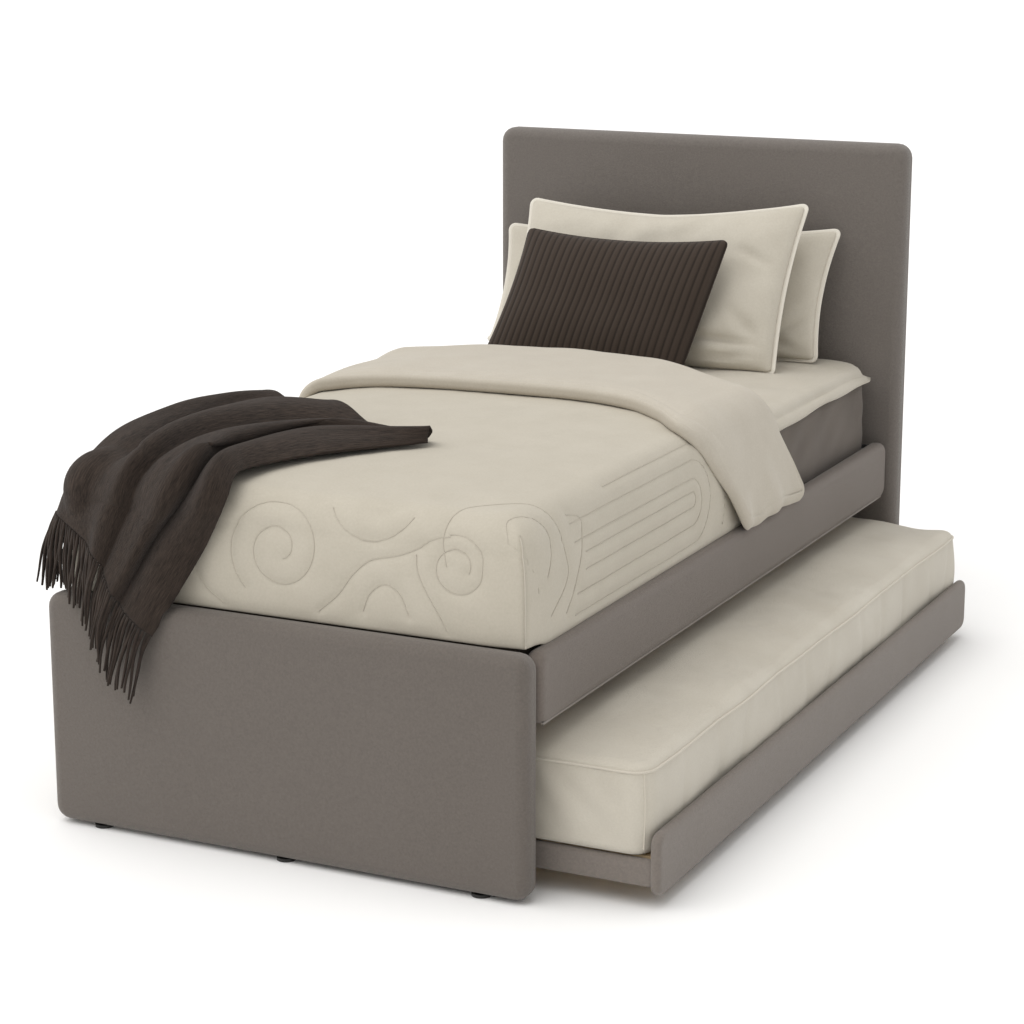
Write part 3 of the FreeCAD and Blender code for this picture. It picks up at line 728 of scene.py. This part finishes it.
# The quilting thread shows as a fine line in each groove at the foot and on both sides. Lines that
# reach past the foot shoulder and stay between the side shoulders lie on the top, and show none.
TOP_FROM_Y, TOP_HALF = 0.09, 0.44
THREAD_GATHER, THREAD_RADII = 0.0045, (0.0007, 0.0011)
thread_paths, thread_ups = [], []
for line in stitched_lines():
    line = line[::2]
    if line[:, 1].max() > TOP_FROM_Y and np.abs(line[:, 0]).max() < TOP_HALF:
        continue
    box_lo, box_hi = line.min(0) - 0.02, line.max(0) + 0.02
    near = ((quilt_sheet > box_lo) & (quilt_sheet < box_hi)).all(1) & quilt_is_outer
    pull = np.exp(-(np.linalg.norm(quilt_sheet[near, None] - line[None], axis=2) / THREAD_GATHER) ** 2)
    reached = pull.sum(0) > 0.5
    pull = pull[:, reached] / pull[:, reached].sum(0)
    thread_paths.append(pull.T @ quilt_flat[near] + quilt_middle)
    thread_ups.append(pull.T @ quilt_form["normals"][near])
thread_points, thread_faces, thread_count = [], [], 0
for path, up in zip(thread_paths, thread_ups):
    ring_points, ring_faces = tube(path, THREAD_RADII, up, sides=6)
    thread_points.append(ring_points)
    thread_faces += [[corner + thread_count for corner in face] for face in ring_faces]
    thread_count += len(ring_points)
build("quilt_stitching", np.concatenate(thread_points), thread_faces, seam_thread, "bed_frame",
      "quilt_cotton")

# ---- turned-down band ------------------------------------------------------------------------
# The head end of the quilt folded back over itself: a soft double layer with a rolled front lip,
# a fold at the head end that drops to the topper, and a hemmed end hanging down each side.
BAND_T, BAND_LIFT, BAND_LENGTH, BAND_HALF = 0.030, 0.001, 0.40, 0.690
BAND_CORNER, BAND_EDGE_R, BAND_STEP = 0.026, 0.012, 0.0070
band_form = slab((2 * (BAND_HALF - BAND_EDGE_R), BAND_LENGTH - 2 * BAND_EDGE_R), BAND_CORNER - BAND_EDGE_R,
                 padded_edge(BAND_T, BAND_EDGE_R, rows=2), BAND_STEP, in_corner=7)
band_s, band_v, band_h = band_form["points"].T.copy()
band_far = np.abs(band_s)


def over_quilt(along, lift):
    """Place over the quilt at a distance along its section: flat, elliptical shoulder, then wall."""
    flat = QUILT_HALF - SHOULDER_OUT
    turn = np.clip((np.abs(along) - flat) / (0.065 + lift), 0, np.pi / 2)
    past = np.maximum(np.abs(along) - flat - (0.065 + lift) * np.pi / 2, 0)
    x = np.minimum(np.abs(along), flat) + (SHOULDER_OUT + lift) * np.sin(turn)
    crown = QUILT_CROWN * (1 - np.clip(np.abs(along) / flat, 0, 1) ** 4)
    z = QUILT_TOP + lift - (SHOULDER_DOWN + lift) * (1 - np.cos(turn)) - past + crown
    return np.sign(along) * x, z


def bell(value, middle, width):
    """A bell curve, 1 at the middle and 0.37 a width away."""
    return np.exp(-((value - middle) / width) ** 2)


band_edge_gap = np.minimum(BAND_HALF - band_far, BAND_LENGTH / 2 - np.abs(band_v))
on_face = band_form["row"] == 0
lip_gap, hang_gap = band_v + BAND_LENGTH / 2, BAND_HALF - band_far
on_top_part = np.clip((0.50 - band_far) / 0.10, 0, 1)
stitch = 0.0014 * bell(np.minimum(hang_gap, BAND_LENGTH / 2 - band_v), 0.0135, 0.0028) * (1 - on_top_part)
lip_stitch = 0.0030 * bell(lip_gap, 0.050, 0.0055) * np.clip((0.56 - band_far) / 0.12, 0, 1)
loft = 0.003 * (1 - bell(band_edge_gap, 0, 0.03)) + 0.0016 * ripple(band_s, band_v, 0.19, 41)
loft -= 0.011 * np.clip(1 - lip_gap / 0.050, 0, 1) ** 2 * on_top_part
loft += 0.004 * bell(band_s * 0.3 + band_v, 0.05, 0.05) * bell(band_far, 0.44, 0.08)
past_shoulder = np.clip((band_far - 0.512) / 0.17, 0, 1.2)
band_thick = (BAND_T + band_h) * (1 - 0.50 * np.clip((band_far - 0.42) / 0.12, 0, 1))
lift = BAND_LIFT + band_thick + np.where(on_face, loft - stitch - lip_stitch, 0)
lip_y, fold_y = line_at(LIP_LINE, band_s), line_at(FOLD_LINE, band_s)
band_x, band_z = over_quilt(band_s, lift)
band_y = lip_y + (band_v / BAND_LENGTH + 0.5) * (fold_y - lip_y)
flute = 0.004 * np.sin((band_v + 0.05) * 2 * np.pi / 0.21) + 0.0015 * np.sin(band_v * 2 * np.pi / 0.10 + 1)
band_x += np.sign(band_s) * past_shoulder * (0.030 + flute * past_shoulder)
hem_wave = np.sin((band_v + 0.02) * 2 * np.pi / 0.25) + bell(band_v, -0.04, 0.04)
band_z += past_shoulder * 0.004 * hem_wave
at_fold = np.clip((band_v - (BAND_LENGTH / 2 - 0.035)) / 0.03, 0, 1)
at_fold *= np.clip((0.47 - band_far) / 0.07, 0, 1)
depth_share = np.clip(-band_h / BAND_T, 0, 1)
band_z -= at_fold * depth_share * 0.032
band_y += at_fold * 0.010 * np.sin(np.pi * depth_share)
turn_down = build("quilt_turned_down_band", np.stack([band_x, band_y, band_z], 1), band_form["faces"],
                  bed_linen("brushed_cotton_lining", "#b4ac9e", "#c1baad", puckers=0.12), "bed_frame",
                  "quilt_cotton", ["quilt_turn_down"], band_form["sheet"])

# ---- pillows ---------------------------------------------------------------------------------
# Two feather pillows in plain cotton cases. A case is two flat layers sewn round the edge, with a
# narrow flange outside the seam; filling it pulls the edges in between the corners, the free top
# edge most.
pillow_cotton = bed_linen("cotton_pillow_case", "#b9b2a4", "#c6c0b3", wave=22.0, puckers=0.22)
TOPPER_FACE = topper_middle[2] + 0.004
FLANGE_OUT, FLANGE_RADII, PILLOW_STEP = 0.004, (0.0065, 0.0016), 0.0095
CASE_EDGE = [(0, 0), (0.0015, 0.0015), (0.0015, 0.0035), (0, 0.005)]


def filled_case(width, height, thick, step, seed):
    """A filled pillow case lying flat: a dome on each face, and the edges drawn in between the corners."""
    case = slab((width, height), 0.012, CASE_EDGE, step)
    flat = case["points"].copy()
    flat[:, 2] += 0.0025
    u, v = flat[:, 0] / (width / 2 + 0.002), flat[:, 1] / (height / 2 + 0.002)
    dome = np.sign(flat[:, 2]) * np.sqrt(np.clip((1 - u ** 4) * (1 - v ** 4), 0, 1))
    flat[:, 2] = dome * (thick / 2 + 0.0030 * ripple(flat[:, 0], flat[:, 1], 0.12, seed))
    flat[:, 0] *= 1 - 0.045 * (1 - v ** 2)
    flat[:, 1] *= 1 - (0.02 + 0.17 * np.clip(v, 0, 1)) * (1 - np.abs(u) ** 1.5)
    case["points"] = flat * np.array([width, height, thick]) / np.ptp(flat, axis=0)
    return case


def stand(points, foot, lean, half_height):
    """Stand a flat form on its lower edge at foot and lean it back, its face towards the foot end."""
    back, up = math.sin(math.radians(lean)), math.cos(math.radians(lean))
    rise = points[:, 1] + half_height
    return np.array(foot) + np.stack(
        [points[:, 0], rise * back - points[:, 2] * up, rise * up + points[:, 2] * back], 1)


def rest_on(points, height, softness=0.02):
    """Flatten what comes below a height: the lower it is, the closer it is pressed to that height."""
    points[:, 2] = height + softness * np.logaddexp(0, (points[:, 2] - height) / softness)
    return points


def pillow(name, node, size, foot, lean, roll, shear, folds, seed):
    """A standing pillow with its flange.

    foot is its lower edge's middle, lean and roll are in degrees, and shear moves the lower edge
    towards -X. folds are (start, end, width, depth), placed by shares of the half width and height.
    """
    width, height, thick = size
    case = filled_case(width, height, thick, PILLOW_STEP, seed)
    points = case["points"]
    u, v = points[:, 0] / (width / 2), points[:, 1] / (height / 2)
    facing = np.sign(points[:, 2]) * np.clip(np.abs(points[:, 2]) / (0.3 * thick), 0, 1)
    for start, end, fold_width, depth in folds:
        points[:, 2] -= facing * depth * crease(u, v, start, end, fold_width)
    points[:, 2] += facing * 0.0016 * ripple(points[:, 0], points[:, 1], 0.09, seed + 1)
    points[:, 2] *= 1 - 0.14 * v
    points[:, 0] += shear * (v - 1) / 2
    cos_roll, sin_roll = math.cos(math.radians(roll)), math.sin(math.radians(roll))
    points[:, :2] = points[:, :2] @ np.array([[cos_roll, sin_roll], [-sin_roll, cos_roll]])
    placed = rest_on(stand(points, foot, lean, height / 2), TOPPER_FACE, 0.006)
    piece = build(name, placed, case["faces"], pillow_cotton, "bed_frame", "pillow_cotton", [node],
                  case["sheet"])
    seam = placed[case["edge"][2]]
    middle = seam.mean(0)
    out = seam - middle
    out -= np.outer(out @ case_normal(lean), case_normal(lean))
    seam = seam + FLANGE_OUT * out / np.linalg.norm(out, axis=1)[:, None]
    flange = tube(seam, FLANGE_RADII, case_normal(lean), closed=True)
    build(name + "_flange", *flange, flange_cotton, "bed_frame", "pillow_cotton")


def case_normal(lean):
    """The direction that a leaning case faces."""
    return np.array([0, -math.cos(math.radians(lean)), math.sin(math.radians(lean))])


flange_cotton = plain_tape("cotton_flange", "#d3cdc1", "#e0dbd0")
BACK_FOLDS = [((0.55, -0.50), (0.96, -0.95), 0.05, 0.012), ((0.70, -0.80), (0.95, -0.35), 0.04, 0.008),
              ((-0.70, -0.20), (-0.97, -0.85), 0.06, 0.006)]
FRONT_FOLDS = [((0.30, -0.66), (0.95, -0.74), 0.045, 0.014), ((0.48, -0.90), (0.92, -0.84), 0.03, 0.010),
               ((0.66, -0.30), (0.90, -0.70), 0.05, 0.008), ((0.62, 0.42), (0.90, 0.20), 0.04, 0.006)]
pillow("sleeping_pillow_back", "pillow_back", (0.838, 0.305, 0.092), (-0.040, 1.866, TOPPER_FACE - 0.004),
       18, 2.3, 0.030, BACK_FOLDS, 51)
pillow("sleeping_pillow_front", "pillow_front", (0.690, 0.406, 0.118), (-0.020, 1.702, TOPPER_FACE - 0.006),
       27, 1.9, 0.022, FRONT_FOLDS, 53)

# ---- ribbed cushion --------------------------------------------------------------------------
# A small oblong cushion in dark brown corded velvet: padded ribs run from edge to edge, each sewn
# down in a narrow channel darkened with painted shade.
CUSHION_W, CUSHION_H, CUSHION_T, RIBS = 0.505, 0.328, 0.086, 29
RIB_DEPTH = 0.0024
CUSHION_FOOT, CUSHION_LEAN, CUSHION_SHEAR = (-0.062, 1.606, TOPPER_FACE - 0.003), 23, 0.066


def corded_velvet():
    """Short-pile velvet: soft sheen, painted shade in the sewn channels; pile drawn 2 mm so it shows."""
    material, tree, shader = new_material("corded_velvet_brown", "#3a312a", 0.9,
                                          Sheen_Weight=0.12, Sheen_Roughness=0.5, Specular_IOR_Level=0.2)
    place = add_node(tree, "UVMap").outputs["UV"]
    across = add_node(tree, "SeparateXYZ", {0: place}).outputs[0]
    turns = add_node(tree, "Math", {0: across, 1: RIBS * math.pi / CUSHION_W}, operation="MULTIPLY")
    wave = add_node(tree, "Math", {0: turns.outputs[0]}, operation="COSINE").outputs[0]
    crest = add_node(tree, "Math", {0: wave}, operation="ABSOLUTE").outputs[0]
    pile = noise(tree, place, 420.0, 3.0)
    # Rib crests lighter and sewn channels darker: painted shade across each rib.
    lit = stretch(tree, crest, 0.05, 0.75)
    flecked = scaled_sum(tree, pile, 0.35, lit)
    share = stretch(tree, flecked, 0.1, 1.25)
    tint(tree, shader, share, "#261f1a", "#40362f")
    bump(tree, shader, pile, 0.001, 0.7)
    return material


cushion_form = slab((CUSHION_W, CUSHION_H), 0.016, CASE_EDGE, 0.0032)
cushion_flat = cushion_form["points"]
cushion_flat[:, 2] += 0.0025
cushion_u, cushion_v = cushion_flat[:, 0] / (CUSHION_W / 2), cushion_flat[:, 1] / (CUSHION_H / 2)
cushion_dome = np.clip((1 - np.abs(cushion_u) ** 3.6) * (1 - np.abs(cushion_v) ** 3.2), 0, 1) ** 0.55
rib_crest = np.abs(np.cos(cushion_flat[:, 0] * RIBS * np.pi / CUSHION_W)) ** 0.6
cushion_side = np.sign(cushion_flat[:, 2])
cushion_flat[:, 2] = cushion_side * (0.0025 + cushion_dome * (CUSHION_T / 2 - RIB_DEPTH) + RIB_DEPTH * (
    rib_crest * np.clip(cushion_dome * 2.5, 0, 1)))
cushion_flat[:, 2] += 0.0015 * ripple(cushion_flat[:, 0], cushion_flat[:, 1], 0.16, 61) * cushion_dome
cushion_flat[:, 0] *= 1 - 0.022 * (1 - cushion_v ** 2)
cushion_flat[:, 1] *= 1 - 0.11 * (1 - cushion_u ** 2)
cushion_flat[:, 0] += CUSHION_SHEAR * (cushion_v - 1) / 2 + 0.006 * (1 - cushion_v ** 2)
cushion_placed = stand(cushion_flat, CUSHION_FOOT, CUSHION_LEAN, CUSHION_H / 2)
cushion = build("ribbed_velvet_cushion", rest_on(cushion_placed, TOPPER_FACE, 0.004), cushion_form["faces"],
                corded_velvet(), "bed_frame", "cushion_rib", ["ribbed_cushion"], cushion_form["sheet"])

# ---- throw -----------------------------------------------------------------------------------
# A brushed wool throw in a dark brown twill, gathered at one end and fanned out over the foot
# corner. Its free end hangs over the footboard and the left side and is finished with tassels.
THROW_T = 0.004
# The cloth's guide lines, from its far left edge over the quilt's shoulder to its near right edge,
# at six stations from the gathered end to the fringe. Between two lines stands one roll.
THROW_NET = np.array([
    [(-0.500, 0.740, 0.600), (-0.450, 0.700, 0.705), (-0.330, 0.660, 0.705),
     (-0.085, 0.545, 0.700), (0.055, 0.500, 0.700), (0.075, 0.455, 0.695)],
    [(-0.515, 0.640, 0.560), (-0.465, 0.590, 0.715), (-0.400, 0.540, 0.710),
     (-0.215, 0.470, 0.710), (-0.150, 0.425, 0.700), (-0.055, 0.290, 0.695)],
    [(-0.520, 0.520, 0.540), (-0.475, 0.420, 0.725), (-0.395, 0.320, 0.710),
     (-0.285, 0.260, 0.720), (-0.205, 0.200, 0.700), (-0.120, 0.130, 0.695)],
    [(-0.525, 0.400, 0.530), (-0.485, 0.240, 0.710), (-0.365, 0.130, 0.705),
     (-0.290, 0.085, 0.705), (-0.190, 0.060, 0.680), (-0.120, 0.045, 0.660)],
    [(-0.530, 0.300, 0.530), (-0.500, 0.120, 0.650), (-0.400, 0.045, 0.635),
     (-0.320, 0.035, 0.620), (-0.260, 0.030, 0.585), (-0.170, 0.035, 0.560)],
    [(-0.530, 0.220, 0.525), (-0.515, 0.080, 0.590), (-0.405, 0.015, 0.560),
     (-0.355, -0.005, 0.515), (-0.320, -0.010, 0.460), (-0.250, -0.015, 0.405)],
])
# How high each of the five rolls stands at the same six stations.
THROW_ROLLS = np.array([(0.004, 0.012, 0.030, 0.006, 0.026), (0.006, 0.013, 0.040, 0.032, 0.030),
                        (0.005, 0.009, 0.040, 0.046, 0.034), (0.004, 0.008, 0.034, 0.048, 0.034),
                        (0.004, 0.008, 0.022, 0.036, 0.028), (0.003, 0.006, 0.012, 0.018, 0.014)])
THROW_FLAT = (0.80, 0.85)
THROW_LIES, THROW_CLEARS, TASSEL_CLEARS, ROUNDING = 0.006, 0.004, 0.005, 8
ROLL_SHARPNESS = np.array([1.8, 1.6, 1.6, 1.0, 1.0])
ROLL_LEAN = np.array([0.0, 0.1, 0.3, 0.75, 0.2])
# What the throw rests on, as (low corner, high corner, edge radius): quilt, footboard, left rail.
BED_FORMS = [((-0.484, 0.044, 0.30), (0.484, 1.30, 0.698), 0.058),
             ((-0.502, -0.002, 0.0), (0.502, 0.058, 0.457), 0.020),
             ((-0.507, 0.057, 0.316), (-0.465, 1.99, 0.451), 0.014)]


def clear_of_bed(points, gap):
    """Move points out of the quilt, footboard and rail, each a box with round edges, along its face."""
    shape = points.shape
    points = points.reshape(-1, 3)
    for lo, hi, radius in BED_FORMS:
        middle, half = (np.array(lo) + hi) / 2, (np.array(hi) - lo) / 2 - radius
        beyond = np.abs(points - middle) - half
        outside = np.maximum(beyond, 0)
        length = np.linalg.norm(outside, axis=1)
        distance = length + np.minimum(beyond.max(1), 0) - radius
        nearest_face = np.eye(3)[beyond.argmax(1)]
        way = np.where(length[:, None] > 1e-9, outside / np.maximum(length, 1e-9)[:, None], nearest_face)
        points = points + way * np.sign(points - middle) * np.maximum(gap - distance, 0)[:, None]
    return points.reshape(shape)


def grid_normals(surface):
    """Unit normals of a grid of points: the cross product of its two directions."""
    normal = np.cross(np.gradient(surface, axis=0), np.gradient(surface, axis=1))
    return normal / np.linalg.norm(normal, axis=2)[..., None]


THROW_ROWS, THROW_COLUMNS = 170, 230
throw_surface = curve_through(np.moveaxis(curve_through(THROW_NET, THROW_ROWS), 1, 0), THROW_COLUMNS)
throw_surface = np.moveaxis(throw_surface, 0, 1)
throw_surface = clear_of_bed(throw_surface, THROW_LIES)
along, side = np.meshgrid(np.linspace(0, 1, THROW_ROWS), np.linspace(0, 1, THROW_COLUMNS), indexing="ij")
normal = grid_normals(throw_surface)
roll_count = THROW_ROLLS.shape[1]
roll_number = np.minimum((side * roll_count).astype(int), roll_count - 1)
roll_share = side * roll_count - roll_number
roll_height = np.take_along_axis(curve_through(THROW_ROLLS, THROW_ROWS), roll_number, axis=1)
roll_shape = np.sin(np.pi * roll_share) ** ROLL_SHARPNESS[roll_number]
rolls = roll_height * roll_shape + 0.0016 * ripple(side * 1.1, along * 0.20, 0.07, 71)
across_way = np.gradient(throw_surface, axis=1)
across_way /= np.linalg.norm(across_way, axis=2)[..., None]
lean_over = roll_height * roll_shape * ROLL_LEAN[roll_number]
throw_surface = throw_surface + normal * rolls[..., None] + across_way * lean_over[..., None]
for _ in range(ROUNDING):  # the cloth's stiffness rounds off its folds
    throw_surface[1:-1, 1:-1] = (throw_surface[:-2, 1:-1] + throw_surface[2:, 1:-1]
                                 + throw_surface[1:-1, :-2] + throw_surface[1:-1, 2:]) / 4
throw_surface = clear_of_bed(throw_surface, THROW_CLEARS)
normal = grid_normals(throw_surface)
throw_index = np.arange(THROW_ROWS * THROW_COLUMNS).reshape(THROW_ROWS, THROW_COLUMNS)


def brushed_wool():
    """Brushed wool: long pale hairs along the cloth over a dark, matt ground.

    The hairs are drawn 2.4 mm wide and 26 mm long, so that they show; the twill isn't drawn.
    """
    material, tree, shader = new_material("brushed_wool_twill_brown", "#2b2521", 0.95,
                                          Sheen_Weight=0.06, Sheen_Roughness=0.6, Specular_IOR_Level=0.15)
    place = add_node(tree, "UVMap").outputs["UV"]
    lengthwise = add_node(tree, "Mapping", {"Vector": place, "Scale": (1.0, 0.09, 1.0)}).outputs[0]
    hair = noise(tree, lengthwise, 420.0, 4.0, Roughness=0.7)
    tuft = noise(tree, lengthwise, 60.0, 3.0)
    both = scaled_sum(tree, tuft, 0.25, hair)
    share = stretch(tree, both, 0.42, 0.86)
    tint(tree, shader, share, "#1b1511", "#463b34")
    bump(tree, shader, both, 0.0022, 0.8)
    return material


wool = brushed_wool()
throw_sheet = np.stack([side * THROW_FLAT[0], along * THROW_FLAT[1]], 2)
throw_piece = build("wool_throw", throw_surface.reshape(-1, 3), quads_of(throw_index).tolist(), wool,
                    "bed_frame", "throw_wool", ["throw_blanket"], throw_sheet.reshape(-1, 2))
thickness = throw_piece.modifiers.new("thickness", "SOLIDIFY")
thickness.thickness, thickness.offset = THROW_T, 1.0

TASSELS, TASSEL_STEPS, TASSEL_SIDES = 72, 11, 6
fringe_draw = np.random.default_rng(72)
fringe_run = np.concatenate([[0], np.cumsum(np.linalg.norm(np.diff(throw_surface[-1], axis=0), axis=1))])
root_share = np.linspace(0.006, 0.994, TASSELS) + fringe_draw.uniform(-0.001, 0.001, TASSELS)
root_column = np.interp(root_share * fringe_run[-1], fringe_run, np.arange(THROW_COLUMNS)).round().astype(int)
roots = throw_surface[-1, root_column] + normal[-1, root_column] * THROW_T / 2
leaving = throw_surface[-1] - throw_surface[-8]
leaving = (leaving / np.linalg.norm(leaving, axis=1)[:, None])[root_column]
tassel_length = fringe_draw.uniform(0.118, 0.145, TASSELS)
fall = np.linspace(0, 1, TASSEL_STEPS)[None, :, None]
swing = fringe_draw.normal(0, 0.05, (TASSELS, 3)) * [1, 1, 0.1]
wave_shift = fringe_draw.uniform(0, 2 * np.pi, (TASSELS, 1, 1))
downward = np.array([0, 0, -1.0]) + swing[:, None]
heading = leaving[:, None] * (1 - 0.75 * fall) + downward * (0.25 + 0.9 * fall)
heading = heading + np.array([0.10, 0.05, 0.0]) * np.sin(fall * 7 + wave_shift)
heading /= np.linalg.norm(heading, axis=2)[..., None]
step_length = (tassel_length / (TASSEL_STEPS - 1))[:, None, None]
lines = roots[:, None] + np.cumsum(heading * step_length, axis=1) - heading * step_length
lines = clear_of_bed(lines, TASSEL_CLEARS)
tassel_radius = 0.0036 * (1 - 0.45 * fall ** 2) * fringe_draw.uniform(0.88, 1.15, (TASSELS, 1, 1))
turn = np.linspace(0, 2 * np.pi, TASSEL_SIDES, endpoint=False)
ring_across = np.cross(heading, [0.31, 0.94, 0.13])
ring_across /= np.linalg.norm(ring_across, axis=2)[..., None]
ring_above = np.cross(ring_across, heading)
tassel_points = (lines[:, :, None] + tassel_radius[..., None] * (
    np.cos(turn)[None, None, :, None] * ring_across[:, :, None]
    + np.sin(turn)[None, None, :, None] * ring_above[:, :, None]))
tassel_index = np.arange(TASSELS * TASSEL_STEPS * TASSEL_SIDES).reshape(TASSELS, TASSEL_STEPS, TASSEL_SIDES)
tassel_faces = []
for one in tassel_index:
    tassel_faces += quads_of(np.concatenate([one, one[:, :1]], 1))[:, ::-1].tolist()
    tassel_faces += [one[0].tolist(), one[-1][::-1].tolist()]
tassel_sheet = np.stack(np.broadcast_arrays(root_share[:, None, None] * THROW_FLAT[0] + turn * 0.002,
                                            THROW_FLAT[1] + fall * 0.12 + turn * 0), 3)
fringe = build("wool_throw_fringe", tassel_points.reshape(-1, 3), tassel_faces, wool, "bed_frame",
               "throw_wool", sheet=tassel_sheet.reshape(-1, 2))

# ---- trundle: covered front panel and end rails, mattress ------------------------------------
# The trundle's panel and end rails wear the bed's own cloth over thin foam. Its foam mattress has a
# pale knitted cover with a corded top edge, sewn corners and the loose creases of a stretch cover.
# The panel and end rails take the lightest shade of the cloth: painted light.
board("trundle_panel_upholstery", "trundle_panel_cover", pull_cloth_painted_shading, FACING_RIGHT, 0.026, 0.0100, 0.0012,
      81, step=0.03)
for seed, end_name in enumerate(("foot", "head"), 82):
    board("trundle_end_cloth_" + end_name, "trundle_end_sleeve_" + end_name, pull_cloth_painted_shading, FACING_FOOT,
          0.009, 0.0065, 0.001, seed, step=0.03, longer=0.0055)

trundle_knit = knit("trundle_knit_cover", "#bdb6a8", "#cac4b7")
pull_lo, pull_hi = box("trundle_mattress")
pull_size = pull_hi - pull_lo
PULL_R, PULL_CROWN, PIPING_R = 0.020, 0.016, 0.0026
pull_form = slab((pull_size[0] - 2 * PULL_R, pull_size[1] - 2 * PULL_R), 0.022,
                 padded_edge(pull_size[2], PULL_R, 0.004, rows=16), 0.011, cap=True)
pull_flat, pull_row = pull_form["points"], pull_form["row"]
pull_u, pull_v = (pull_form["sheet"] / (pull_size[:2] / 2)).T
pull_flat[:, 2] += np.where(pull_row == 0, PULL_CROWN * np.clip(1 - np.abs(pull_u) ** 5, 0, 1) * np.clip(
    1 - np.abs(pull_v) ** 10, 0, 1), 0)
pull_s, pull_t = pull_form["sheet"].T
cover_creases = 0.0024 * ripple(pull_s, pull_t, 0.30, 84) + 0.0009 * ripple(pull_s, pull_t * 0.5, 0.10, 85)
foot_edge, outer_edge = -pull_size[1] / 2, pull_size[0] / 2
for crease_number, crease_y in enumerate(np.linspace(-0.78, 0.86, 11)):
    tilt = 0.05 * math.sin(2.3 * crease_number)
    cover_creases -= 0.0030 * crease(pull_s, pull_t, (outer_edge - 0.012, crease_y),
                                     (outer_edge + 0.16, crease_y + tilt), 0.014)
    cover_creases -= 0.0024 * crease(pull_s, pull_t, (outer_edge - 0.16 - tilt, crease_y + 0.05),
                                     (outer_edge - 0.02, crease_y + 0.03 - tilt), 0.022)
for x0, y0, x1, y1 in ((0.16, 0.02, 0.30, -0.15), (0.24, 0.01, 0.40, -0.15), (0.33, -0.01, 0.43, -0.10),
                       (0.05, -0.02, 0.22, -0.16)):
    cover_creases -= 0.0030 * crease(pull_s, pull_t, (x0, foot_edge + y0), (x1, foot_edge + y1), 0.014)
pull_rows_out = pull_row < pull_row.max() - 4
pull_flat += pull_form["normals"] * (pull_rows_out * cover_creases)[:, None]
pull_middle = np.array([(pull_lo[0] + pull_hi[0]) / 2, (pull_lo[1] + pull_hi[1]) / 2, pull_hi[2]])
pull_mattress = build("trundle_mattress_cover", pull_middle + pull_flat, pull_form["faces"], trundle_knit,
                      "trundle", "mattress_knit", ["trundle_mattress"], pull_form["sheet"])
pale_cord = plain_tape("pale_mattress_cord", "#bcb5a7", "#cfc8bb")
top_edge = pull_form["edge"][5]
cord_ring = pull_middle + pull_flat[top_edge] + pull_form["normals"][top_edge] * 0.0006
build("trundle_mattress_piping", *tube(cord_ring, (PIPING_R, PIPING_R), (0, 0, 1), closed=True), pale_cord,
      "trundle", "mattress_knit")
corner_seams("trundle_mattress_seam", pull_form, pull_middle, (5, -5), FOUR_CORNERS, pale_cord,
             "trundle", "mattress_knit")
